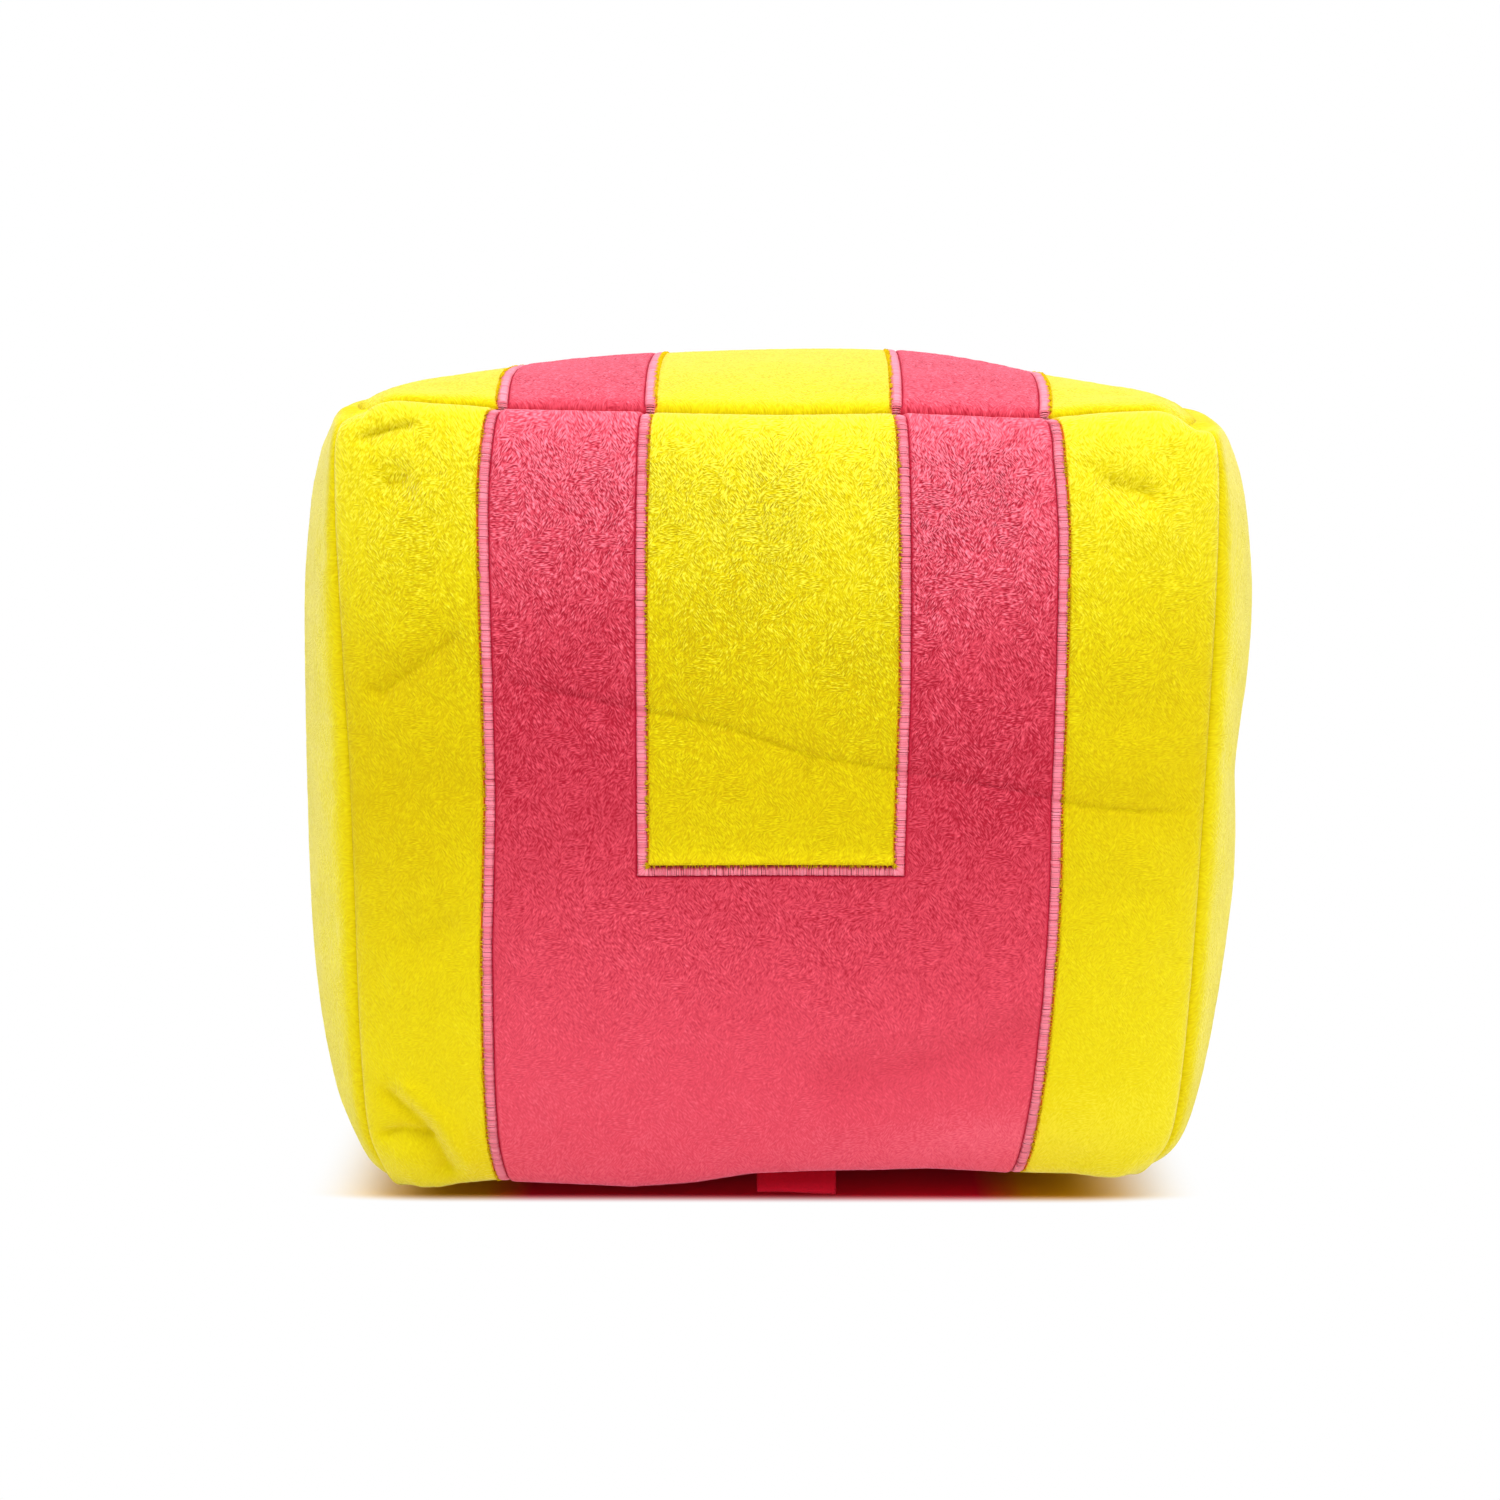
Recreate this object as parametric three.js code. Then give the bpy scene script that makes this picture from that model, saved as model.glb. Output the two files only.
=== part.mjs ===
// Soft fabric block: a stuffed plush cube with a pink U on its front that runs on over the top.
//
// The cover is six puffed panels, sewn right sides together with their seam allowances turned in.
// Pink plush is laid on the panels and bordered with satin stitch, and the filling pushes it all out.
// Millimetres. The front faces -Y, +X is to the viewer's right, +Z is up, and z = 0 is the floor.

import * as THREE from 'three';

// The box that the twelve seams outline, measured from corner to corner
const seamBox = {
  topWidth: 178.8,
  topDepth: 178.8,
  footWidth: 166.8,
  footDepth: 166.8,
  topHeight: 177.2,
  footHeight: 3.5,
};

// How far the filling pushes each seam out of the straight line between its corners
const seamBow = {
  upright: 6.6,
  top: 3,
  foot: 2,
};
const topSeamSag = 1.5;
const footSeamLift = 4.5;

// How far each panel puffs out past its seams, the underside before the floor flattens it
const puff = {
  front: 13.4,
  back: 13.4,
  side: 13.4,
  top: 13,
  underside: 17,
};

// Plush fabric, its turned-in seam allowance, and the slit that the seam's stitches hold
const fabric = {
  thickness: 1.4,
  allowance: 6,
  seamSlit: 1.1,
};

// Pink plush laid on the yellow panels
const applique = {
  clearance: 0.3,
  thickness: 0.8,
  stripeOuterWidth: 124,
  stripeInnerWidth: 53,
  rectangleFootHeight: 80,
  endGap: 2,
};

// Satin stitch over the raw edge of the pink plush: how far it reaches each way, and its crown
const satin = {
  clearance: 0.3,
  reachOut: 1.2,
  reachIn: 1.2,
  crown: 0.7,
  bevel: 0.5,
};

// The pink band under the block is pressed level with the yellow beside it, in a shallow trough
const trough = {
  margin: 1.5,
  slope: 1.7,
};

// Seam thread, lying in the slit between the two allowances
const thread = {
  diameter: 0.5,
  depth: 1,
  knotGap: 1,
  openingWidth: 60,
};

// Filling
const filling = {
  clearance: 0.4,
  seamClearance: 3.2,
  cornerInset: 7.5,
};

// Ribbon tab in the front foot seam
const tab = {
  width: 17.5,
  centre: 4.4,
  length: 5,
  ribbon: 0.4,
  tailThickness: 0.5,
  tailDepth: 0.3,
  loopHeight: 1.5,
  neck: 0.8,
  shoulder: 2,
};

// Roundness of each swell: 2 is a circle's, more is squarer
const roundness = {
  uprightUpper: 3.8,
  uprightLower: 3.3,
  level: 1.7,
  panelUpper: 2.1,
  panelLower: 2.4,
  topPanel: 1.9,
};

// Grid lines of the panels, as shares of the half width, close together where the cloth turns
const edgeShares = [0.85, 0.93, 0.975, 1];
const depthShares = [0, 0.25, 0.48, 0.68, ...edgeShares];
const heightShares = [-1, -0.975, -0.93, -0.85, -0.7, -0.52, -0.34, 0, 0.22, 0.45, 0.66, 0.82, 0.92, 0.972, 1];
const stripeMiddleShare = 0.55;
const centreShare = 0;

const colours = {
  yellow: 0xecd411,
  pink: 0xe04f63,
  satin: 0xdf7584,
  thread: 0xf2e36a,
  ribbon: 0xe03347,
  filling: 0xf4f2ec,
};

const halfRoot = Math.SQRT1_2;
const slitHalf = fabric.seamSlit / 2;
const bandLift = applique.clearance + applique.thickness;

// Shape of the sewn cover

// A swell that is 1 in the middle and falls to 0 at both ends
function swell(share, power) {
  return Math.max(1 - Math.abs(share) ** power, 0) ** (1 / power);
}

function between(low, high, share) {
  return low + (high - low) * share;
}

// The seam net: a point of the bowed box for cube coordinates from -1 to 1
function seamNet(x, y, z) {
  const up = (z + 1) / 2;
  const uprightPower = z > 0 ? roundness.uprightUpper : roundness.uprightLower;
  const upright = seamBow.upright * swell(z, uprightPower);
  const level = between(seamBow.foot, seamBow.top, up);
  const alongX = swell(x, roundness.level);
  const alongY = swell(y, roundness.level);
  const halfWidth = between(seamBox.footWidth, seamBox.topWidth, up) / 2;
  const halfDepth = between(seamBox.footDepth, seamBox.topDepth, up) / 2;
  const height = between(seamBox.footHeight, seamBox.topHeight, up);
  const rise = between(footSeamLift, -topSeamSag, up);
  return new THREE.Vector3(
    x * (halfWidth + upright + level * alongY),
    y * (halfDepth + upright + level * alongX),
    height + rise * (alongX + alongY),
  );
}

const axisX = new THREE.Vector3(1, 0, 0);
const axisY = new THREE.Vector3(0, 1, 0);
const axisZ = new THREE.Vector3(0, 0, 1);

function opposite(axis) {
  return axis.clone().negate();
}

// Each face looks outward along out, with u to the right and v up as seen from outside
const faces = {
  front: { out: opposite(axisY), u: axisX, v: axisZ, puff: puff.front },
  right: { out: axisX, u: axisY, v: axisZ, puff: puff.side },
  back: { out: axisY, u: opposite(axisX), v: axisZ, puff: puff.back },
  left: { out: opposite(axisX), u: opposite(axisY), v: axisZ, puff: puff.side },
  top: { out: axisZ, u: axisX, v: axisY, puff: puff.top },
  bottom: { out: opposite(axisZ), u: axisX, v: opposite(axisY), puff: puff.underside },
};

function cubePoint(face, u, v) {
  return face.out.clone().addScaledVector(face.u, u).addScaledVector(face.v, v);
}

// Roundness of a panel's swell across and up, rounder in the upper half than at the foot
function panelSwell(face, u, v) {
  if (face === faces.top) {
    return swell(u, roundness.topPanel) * swell(v, roundness.topPanel);
  }
  if (face === faces.bottom) {
    return swell(u, roundness.panelLower) * swell(v, roundness.panelLower);
  }
  const upward = v > 0 ? roundness.panelUpper : roundness.panelLower;
  return swell(u, roundness.panelUpper) * swell(v, upward);
}

// A point of the puffed panel; the underside is pressed flat at floorAt, a height for each u
function panelPoint(face, u, v, floorAt) {
  const cube = cubePoint(face, u, v);
  const point = seamNet(cube.x, cube.y, cube.z);
  point.addScaledVector(face.out, face.puff * panelSwell(face, u, v));
  if (face === faces.bottom) {
    point.z = Math.max(point.z, floorAt(u));
  }
  return point;
}

// Directions at a seam: inward between the two faces, and across the slit to this face's side
function seamInward(face, neighbour) {
  return face.out.clone().add(neighbour).multiplyScalar(-halfRoot);
}

function seamAcross(face, neighbour) {
  return face.out.clone().sub(neighbour).multiplyScalar(halfRoot);
}

// Outward axes of the faces that a panel point at (u, v) borders on
function neighboursAt(face, u, v) {
  const found = [];
  if (Math.abs(u) === 1) {
    found.push(face.u.clone().multiplyScalar(u));
  }
  if (Math.abs(v) === 1) {
    found.push(face.v.clone().multiplyScalar(v));
  }
  return found;
}

// A panel's grid: outer points and outward normals at each crossing of its u and v lines
function panelGrid(face, uLines, vLines, floorAt = () => 0) {
  const grid = { face, uLines, vLines, points: [], normals: [] };
  const meetingSlits = 1.5;
  for (const u of uLines) {
    grid.points.push(vLines.map((v) => {
      const point = panelPoint(face, u, v, floorAt);
      const neighbours = neighboursAt(face, u, v);
      const share = neighbours.length === 2 ? 1 / meetingSlits : 1;
      for (const neighbour of neighbours) {
        point.addScaledVector(seamAcross(face, neighbour), slitHalf * share);
      }
      return point;
    }));
  }
  grid.normals = uLines.map((u, i) => vLines.map((v, j) => gridNormal(grid, i, j)));
  return grid;
}

// The mean direction of the one or two grid lines that run through a crossing
function lineDirection(before, here, after) {
  const direction = new THREE.Vector3();
  if (before) {
    direction.add(here.clone().sub(before).normalize());
  }
  if (after) {
    direction.add(after.clone().sub(here).normalize());
  }
  return direction.normalize();
}

function gridNormal(grid, i, j) {
  const here = grid.points[i][j];
  const along = lineDirection(grid.points[i - 1]?.[j], here, grid.points[i + 1]?.[j]);
  const up = lineDirection(grid.points[i][j - 1], here, grid.points[i][j + 1]);
  return along.cross(up).normalize();
}

// A point on the grid's facets at fractional indices, raised by lift along the normal
function onGrid(grid, a, b, lift) {
  const i = Math.min(Math.max(Math.floor(a), 0), grid.uLines.length - 2);
  const j = Math.min(Math.max(Math.floor(b), 0), grid.vLines.length - 2);
  const p = a - i;
  const q = b - j;
  const corners = [[0, 0, (1 - p) * (1 - q)], [1, 0, p * (1 - q)], [0, 1, (1 - p) * q], [1, 1, p * q]];
  const point = new THREE.Vector3();
  for (const [di, dj, weight] of corners) {
    point.addScaledVector(grid.points[i + di][j + dj], weight);
    point.addScaledVector(grid.normals[i + di][j + dj], weight * lift);
  }
  return point;
}

// Grid lines

// Both halves of a list of shares that starts at 0
function mirrored(shares) {
  const positive = shares.filter((share) => share > 0);
  return [...positive.map((share) => -share).reverse(), 0, ...positive];
}

const middleHalfWidth = (seamBox.topWidth + seamBox.footWidth) / 4 + seamBow.upright;
const stripeOuter = applique.stripeOuterWidth / 2 / middleHalfWidth;
const stripeInner = applique.stripeInnerWidth / 2 / middleHalfWidth;
const stripeMiddle = between(stripeInner, stripeOuter, stripeMiddleShare);
const widthLines = mirrored([centreShare, stripeInner, stripeMiddle, stripeOuter, ...edgeShares]);
const depthLines = mirrored(depthShares);

// The line where the yellow rectangle ends, from its height above the floor
const rectangleRise = applique.rectangleFootHeight - seamBox.footHeight - footSeamLift;
const wallRise = seamBox.topHeight - seamBox.footHeight - footSeamLift - topSeamSag;
const rectangleFoot = 2 * rectangleRise / wallRise - 1;
const clearOfRectangle = 0.08;
const heightLines = [...heightShares.filter((v) => Math.abs(v - rectangleFoot) > clearOfRectangle), rectangleFoot]
  .sort((a, b) => a - b);

// The underside has two more lines each side, for the trough that takes the pink band
const footHalfWidth = seamBox.footWidth / 2;
const troughEdge = stripeOuter + trough.margin / footHalfWidth;
const troughTop = troughEdge + trough.slope / footHalfWidth;
const undersideLines = mirrored(
  [centreShare, stripeInner, stripeMiddle, stripeOuter, troughEdge, troughTop, ...edgeShares],
);
const halfStep = trough.slope / footHalfWidth / 2;

function troughFloor(u) {
  return Math.abs(u) < troughEdge + halfStep ? bandLift : 0;
}

const grids = {
  front: panelGrid(faces.front, widthLines, heightLines),
  back: panelGrid(faces.back, widthLines, heightLines),
  right: panelGrid(faces.right, depthLines, heightLines),
  left: panelGrid(faces.left, depthLines, heightLines),
  top: panelGrid(faces.top, widthLines, depthLines),
  bottom: panelGrid(faces.bottom, undersideLines, depthLines, troughFloor),
};

// Bodies from points and triangles

// A mesh whose triangles are turned outward, whichever way round they were listed
function closedMesh(name, points, triangles, material) {
  let volume = 0;
  for (const [a, b, c] of triangles) {
    volume += points[a].dot(points[b].clone().cross(points[c]));
  }
  const ordered = volume > 0 ? triangles : triangles.map(([a, b, c]) => [a, c, b]);
  const geometry = new THREE.BufferGeometry();
  const values = points.flatMap((point) => [point.x, point.y, point.z]);
  geometry.setAttribute('position', new THREE.Float32BufferAttribute(values, 3));
  geometry.setIndex(ordered.flat());
  geometry.computeVertexNormals();
  const mesh = new THREE.Mesh(geometry, material);
  mesh.name = name;
  return mesh;
}

// Two triangles, split along the diagonal that runs to the nearer corner of the panel
function quad(a, b, c, d, towardCorner) {
  return towardCorner ? [[a, b, c], [a, c, d]] : [[a, b, d], [b, c, d]];
}

// A closed sheet over some cells of a grid: right side, wrong side and the cut edges between them.
// A cell is [i, j]; outer and inner give the two points at a crossing.
function sheetMesh(name, grid, cells, outer, inner, material) {
  const points = [];
  const triangles = [];
  const indexOf = new Map();
  const has = new Set(cells.map(([i, j]) => `${i},${j}`));
  const node = (side, i, j) => {
    const key = `${side},${i},${j}`;
    if (!indexOf.has(key)) {
      indexOf.set(key, points.length);
      points.push(side === 'outer' ? outer(i, j) : inner(i, j));
    }
    return indexOf.get(key);
  };
  const middle = (lines, k) => (lines[k] ?? lines[k + 1]) + (lines[k + 1] ?? lines[k]);
  for (const [i, j] of cells) {
    const corner = middle(grid.uLines, i) * middle(grid.vLines, j) > 0;
    const around = [[i, j], [i + 1, j], [i + 1, j + 1], [i, j + 1]];
    const [a, b, c, d] = around.map(([p, q]) => node('outer', p, q));
    const [e, f, g, h] = around.map(([p, q]) => node('inner', p, q));
    triangles.push(...quad(a, b, c, d, corner));
    triangles.push(...quad(e, f, g, h, corner).map(([p, q, r]) => [p, r, q]));
    const sides = [[i, j - 1, a, b, e, f], [i + 1, j, b, c, f, g], [i, j + 1, c, d, g, h], [i - 1, j, d, a, h, e]];
    for (const [p, q, from, to, innerFrom, innerTo] of sides) {
      if (!has.has(`${p},${q}`)) {
        triangles.push([from, innerFrom, innerTo], [from, innerTo, to]);
      }
    }
  }
  return closedMesh(name, points, triangles, material);
}

// A closed bar: the same outline of points at each station, with flat ends
function barMesh(name, stations, endTriangles, material) {
  const count = stations[0].length;
  const points = stations.flat();
  const triangles = [];
  for (let station = 0; station + 1 < stations.length; station += 1) {
    for (let k = 0; k < count; k += 1) {
      const next = (k + 1) % count;
      const here = station * count;
      const there = here + count;
      triangles.push([here + k, here + next, there + next], [here + k, there + next, there + k]);
    }
  }
  const last = (stations.length - 1) * count;
  for (const [a, b, c] of endTriangles) {
    triangles.push([a, c, b], [last + a, last + b, last + c]);
  }
  return closedMesh(name, points, triangles, material);
}

function cloth(colour, roughnessValue) {
  return new THREE.MeshStandardMaterial({ color: colour, roughness: roughnessValue, metalness: 0 });
}

const plushRoughness = 0.95;
const satinRoughness = 0.45;
const threadRoughness = 0.7;

// Panels

function isEdge(lines, k) {
  return k === 0 || k === lines.length - 1;
}

// The allowance is clipped off near the corners, so it runs only between these lines
const clipShare = 0.93;

function keepsAllowance(share) {
  return Math.abs(share) <= clipShare;
}

// The panel's own surface direction away from the seam at an edge crossing
function leavingDirection(grid, i, j) {
  const inwardI = i === 0 ? 1 : i === grid.uLines.length - 1 ? i - 1 : i;
  const inwardJ = j === 0 ? 1 : j === grid.vLines.length - 1 ? j - 1 : j;
  return grid.points[inwardI][inwardJ].clone().sub(grid.points[i][j]);
}

// Wrong side of the cloth below a crossing
function wrongSide(grid, i, j, depth) {
  const face = grid.face;
  const u = grid.uLines[i];
  const v = grid.vLines[j];
  const point = grid.points[i][j].clone();
  const neighbours = neighboursAt(face, u, v);
  if (neighbours.length === 0) {
    return point.addScaledVector(grid.normals[i][j], -depth);
  }
  if (neighbours.length === 2) {
    const diagonal = face.out.clone().add(neighbours[0]).add(neighbours[1]);
    return point.addScaledVector(diagonal, -depth / Math.max(grid.normals[i][j].dot(diagonal), 1));
  }
  const inward = seamInward(face, neighbours[0]);
  const across = seamAcross(face, neighbours[0]);
  const leaving = leavingDirection(grid, i, j);
  const run = Math.hypot(leaving.dot(inward), leaving.dot(across));
  const inwardPart = Math.max(leaving.dot(across) / run, halfRoot);
  const acrossPart = -leaving.dot(inward) / run;
  const along = Math.abs(u) === 1 ? v : u;
  if (!keepsAllowance(along)) {
    return point.addScaledVector(inward, depth / inwardPart);
  }
  point.addScaledVector(across, depth);
  return point.addScaledVector(inward, depth * (1 - acrossPart) / inwardPart);
}

// Crossings past the grid's edge are the tips of the turned-in allowance
function panelMesh(name, grid, material) {
  const lastI = grid.uLines.length - 1;
  const lastJ = grid.vLines.length - 1;
  const tip = (i, j, across) => {
    const edgeI = Math.min(Math.max(i, 0), lastI);
    const edgeJ = Math.min(Math.max(j, 0), lastJ);
    const [neighbour] = edgeI === i
      ? [grid.face.v.clone().multiplyScalar(Math.sign(j))]
      : [grid.face.u.clone().multiplyScalar(Math.sign(i))];
    return grid.points[edgeI][edgeJ].clone()
      .addScaledVector(seamInward(grid.face, neighbour), fabric.allowance)
      .addScaledVector(seamAcross(grid.face, neighbour), across);
  };
  const past = (i, j) => i < 0 || j < 0 || i > lastI || j > lastJ;
  const outer = (i, j) => (past(i, j) ? tip(i, j, 0) : grid.points[i][j].clone());
  const inner = (i, j) => (past(i, j) ? tip(i, j, fabric.thickness) : wrongSide(grid, i, j, fabric.thickness));
  const cells = [];
  for (let i = -1; i <= lastI; i += 1) {
    for (let j = -1; j <= lastJ; j += 1) {
      const inU = i >= 0 && i < lastI;
      const inV = j >= 0 && j < lastJ;
      const keptU = inU && keepsAllowance(grid.uLines[i]) && keepsAllowance(grid.uLines[i + 1]);
      const keptV = inV && keepsAllowance(grid.vLines[j]) && keepsAllowance(grid.vLines[j + 1]);
      if ((inU && inV) || (keptU && !inV) || (keptV && !inU)) {
        cells.push([i, j]);
      }
    }
  }
  return sheetMesh(name, grid, cells, outer, inner, material);
}

// Pink plush laid on a panel

// A crossing moved in from the seam by the gap that the pink plush keeps there
function trimmed(grid, i, j) {
  if (!isEdge(grid.vLines, j)) {
    return j;
  }
  const inner = j === 0 ? 1 : j - 1;
  const length = grid.points[i][j].distanceTo(grid.points[i][inner]);
  return between(j, inner, applique.endGap / length);
}

function appliqueMesh(name, grid, covers, material) {
  const cells = [];
  for (let i = 0; i + 1 < grid.uLines.length; i += 1) {
    for (let j = 0; j + 1 < grid.vLines.length; j += 1) {
      const u = (grid.uLines[i] + grid.uLines[i + 1]) / 2;
      const v = (grid.vLines[j] + grid.vLines[j + 1]) / 2;
      if (covers(u, v)) {
        cells.push([i, j]);
      }
    }
  }
  const upper = applique.clearance + applique.thickness;
  const outer = (i, j) => onGrid(grid, i, trimmed(grid, i, j), upper);
  const inner = (i, j) => onGrid(grid, i, trimmed(grid, i, j), applique.clearance);
  return sheetMesh(name, grid, cells, outer, inner, material);
}

const inStripes = (u) => Math.abs(u) < stripeOuter && Math.abs(u) > stripeInner;
const inBand = (u) => Math.abs(u) < stripeOuter;
const inU = (u, v) => inStripes(u) || (inBand(u) && v < rectangleFoot);

// Satin stitch borders

// Outline of the satin over a raw edge: s runs outward from the edge, n up from the panel
function satinOutline() {
  const pinkTop = applique.clearance + applique.thickness;
  const low = satin.clearance;
  const over = pinkTop + satin.clearance;
  const crown = over + satin.crown;
  const bevelDrop = satin.bevel / 2;
  return [
    [satin.reachOut, low],
    [satin.reachOut - satin.bevel, crown - bevelDrop],
    [satin.bevel - satin.reachIn, crown],
    [-satin.reachIn, over],
    [satin.clearance, over],
    [satin.clearance, low],
  ];
}

// Under the block the satin is pressed into the trough, beside the pink band
function pressedOutline() {
  return [
    [satin.clearance, satin.clearance],
    [satin.reachOut, satin.clearance],
    [satin.reachOut, bandLift],
    [satin.clearance, bandLift],
  ];
}

// A border along stations on a grid. A station is {i, j, di, dj}: a crossing, and the steps in
// i and j that lead outward from the pink edge there.
function borderMesh(name, grid, stations, outline, material) {
  const sections = stations.map(({ i, j, di, dj }) => {
    const b = trimmed(grid, i, j);
    const here = onGrid(grid, i, b, 0);
    return outline.map(([s, n]) => {
      const way = Math.sign(s);
      const stepI = di === 0 ? 0 : s * di / here.distanceTo(onGrid(grid, i + way * di, b, 0));
      const stepJ = dj === 0 ? 0 : s * dj / here.distanceTo(onGrid(grid, i, b + way * dj, 0));
      return onGrid(grid, i + stepI, b + stepJ, n);
    });
  });
  const flat = outline.map(([s, n]) => new THREE.Vector2(s, n));
  const ends = THREE.ShapeUtils.triangulateShape(flat, []);
  return barMesh(name, sections, ends, material);
}

function lineAt(lines, share) {
  return lines.findIndex((line) => Math.abs(line - share) < 1e-9);
}

// Stations up one stripe edge, from the foot seam or a higher line to the far seam
function uprightStations(grid, share, outward, from = 0) {
  const i = lineAt(grid.uLines, share);
  const stations = [];
  for (let j = from; j < grid.vLines.length; j += 1) {
    stations.push({ i, j, di: outward, dj: 0 });
  }
  return stations;
}

// Stations down the inner left edge, along the rectangle's foot and up the inner right edge
function rectangleStations(grid) {
  const foot = lineAt(grid.vLines, rectangleFoot);
  const left = lineAt(grid.uLines, -stripeInner);
  const right = lineAt(grid.uLines, stripeInner);
  const down = uprightStations(grid, -stripeInner, 1, foot + 1).reverse();
  const level = [];
  for (let i = left; i <= right; i += 1) {
    const side = i === left ? 1 : i === right ? -1 : 0;
    level.push({ i, j: foot, di: side, dj: 1 });
  }
  const up = uprightStations(grid, stripeInner, -1, foot + 1);
  return [...down, ...level, ...up];
}

// Filling

// The filling's grid keeps the lines clear of the seams and adds the foot of each seam's wedge
function fillingMesh(name, material) {
  const points = [];
  const triangles = [];
  const depth = fabric.thickness + filling.clearance;
  const wedge = fabric.allowance + filling.seamClearance;
  for (const key of Object.keys(faces)) {
    const face = faces[key];
    const grid = key === 'bottom' ? panelGrid(face, widthLines, depthLines, () => bandLift) : grids[key];
    const kept = (lines) => lines.filter((line) => Math.abs(line) < clipShare || Math.abs(line) === 1);
    const us = kept(grid.uLines);
    const vs = kept(grid.vLines);
    const start = points.length;
    for (const u of us) {
      for (const v of vs) {
        points.push(fillingPoint(grid, u, v, depth, wedge));
      }
    }
    for (let i = 0; i + 1 < us.length; i += 1) {
      for (let j = 0; j + 1 < vs.length; j += 1) {
        const a = start + i * vs.length + j;
        const corner = (us[i] + us[i + 1]) * (vs[j] + vs[j + 1]) > 0;
        triangles.push(...quad(a, a + vs.length, a + vs.length + 1, a + 1, corner));
      }
    }
  }
  return weldedMesh(name, points, triangles, material);
}

function fillingPoint(grid, u, v, depth, wedge) {
  const face = grid.face;
  const neighbours = neighboursAt(face, u, v);
  if (neighbours.length === 0) {
    const i = grid.uLines.indexOf(u);
    const j = grid.vLines.indexOf(v);
    return grid.points[i][j].clone().addScaledVector(grid.normals[i][j], -depth);
  }
  const cube = cubePoint(face, u, v);
  const point = seamNet(cube.x, cube.y, cube.z);
  if (neighbours.length === 2) {
    const diagonal = face.out.clone().add(neighbours[0]).add(neighbours[1]);
    return point.addScaledVector(diagonal, -filling.cornerInset);
  }
  return point.addScaledVector(seamInward(face, neighbours[0]), wedge);
}

// Points that two faces share are made one
function weldedMesh(name, points, triangles, material) {
  const perMillimetre = 10000;
  const first = new Map();
  const kept = [];
  const renumbered = points.map((point) => {
    const key = point.toArray().map((value) => Math.round(value * perMillimetre)).join();
    if (!first.has(key)) {
      first.set(key, kept.length);
      kept.push(point);
    }
    return first.get(key);
  });
  const joined = triangles.map((triangle) => triangle.map((k) => renumbered[k]));
  return closedMesh(name, kept, joined, material);
}

// Seam threads

const threadSides = 6;

// A thread in the slit of the seam between two faces, from one share of the seam to another
function threadMesh(name, face, neighbour, pointAt, lines, from, to, material) {
  const inward = seamInward(face, neighbour);
  const across = seamAcross(face, neighbour);
  const shares = [from, ...lines.filter((line) => line > from && line < to), to];
  const sections = shares.map((share) => {
    const centre = pointAt(share).addScaledVector(inward, thread.depth);
    const ring = [];
    for (let k = 0; k < threadSides; k += 1) {
      const angle = 2 * Math.PI * k / threadSides;
      ring.push(centre.clone()
        .addScaledVector(inward, thread.diameter / 2 * Math.cos(angle))
        .addScaledVector(across, thread.diameter / 2 * Math.sin(angle)));
    }
    return ring;
  });
  const ends = [];
  for (let k = 1; k + 1 < threadSides; k += 1) {
    ends.push([0, k, k + 1]);
  }
  return barMesh(name, sections, ends, material);
}

// Chords between the grid's own lines, so that the thread stays midway between the facets
function seamPointAt(cubeAt, lines) {
  return (share) => {
    const after = Math.max(lines.findIndex((line) => line >= share), 1);
    const low = lines[after - 1];
    const high = lines[after];
    const start = seamNet(...cubeAt(low));
    const end = seamNet(...cubeAt(high));
    return start.lerp(end, (share - low) / (high - low));
  };
}

function seamThreads(material) {
  const meshes = [];
  const add = (name, face, neighbour, cubeAt, lines, from, to) => {
    meshes.push(threadMesh(name, face, neighbour, seamPointAt(cubeAt, lines), lines, from, to, material));
  };
  const full = clipShare;
  for (const [level, z] of [['top', 1], ['foot', -1]]) {
    const flat = z > 0 ? axisZ : opposite(axisZ);
    add(`seam_thread_front_${level}`, faces.front, flat, (x) => [x, -1, z], widthLines, -full, full);
    add(`seam_thread_left_${level}`, faces.left, flat, (y) => [-1, y, z], depthLines, -full, full);
    add(`seam_thread_right_${level}`, faces.right, flat, (y) => [1, y, z], depthLines, -full, full);
  }
  const back = (x) => [x, 1, 1];
  const backFoot = (x) => [x, 1, -1];
  const down = opposite(axisZ);
  const opening = thread.openingWidth / seamBox.footWidth;
  const knot = opening + thread.knotGap / footHalfWidth;
  add('seam_thread_back_top', faces.back, axisZ, back, widthLines, -full, full);
  add('seam_thread_back_foot_left', faces.back, down, backFoot, widthLines, -full, -knot);
  add('seam_thread_back_foot_right', faces.back, down, backFoot, widthLines, knot, full);
  add('closing_thread', faces.back, down, backFoot, widthLines, -opening, opening);
  for (const [side, x] of [['left', -1], ['right', 1]]) {
    const sideways = axisX.clone().multiplyScalar(x);
    add(`seam_thread_front_${side}`, faces.front, sideways, (z) => [x, -1, z], heightLines, -full, full);
    add(`seam_thread_back_${side}`, faces.back, sideways, (z) => [x, 1, z], heightLines, -full, full);
  }
  return meshes;
}

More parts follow.
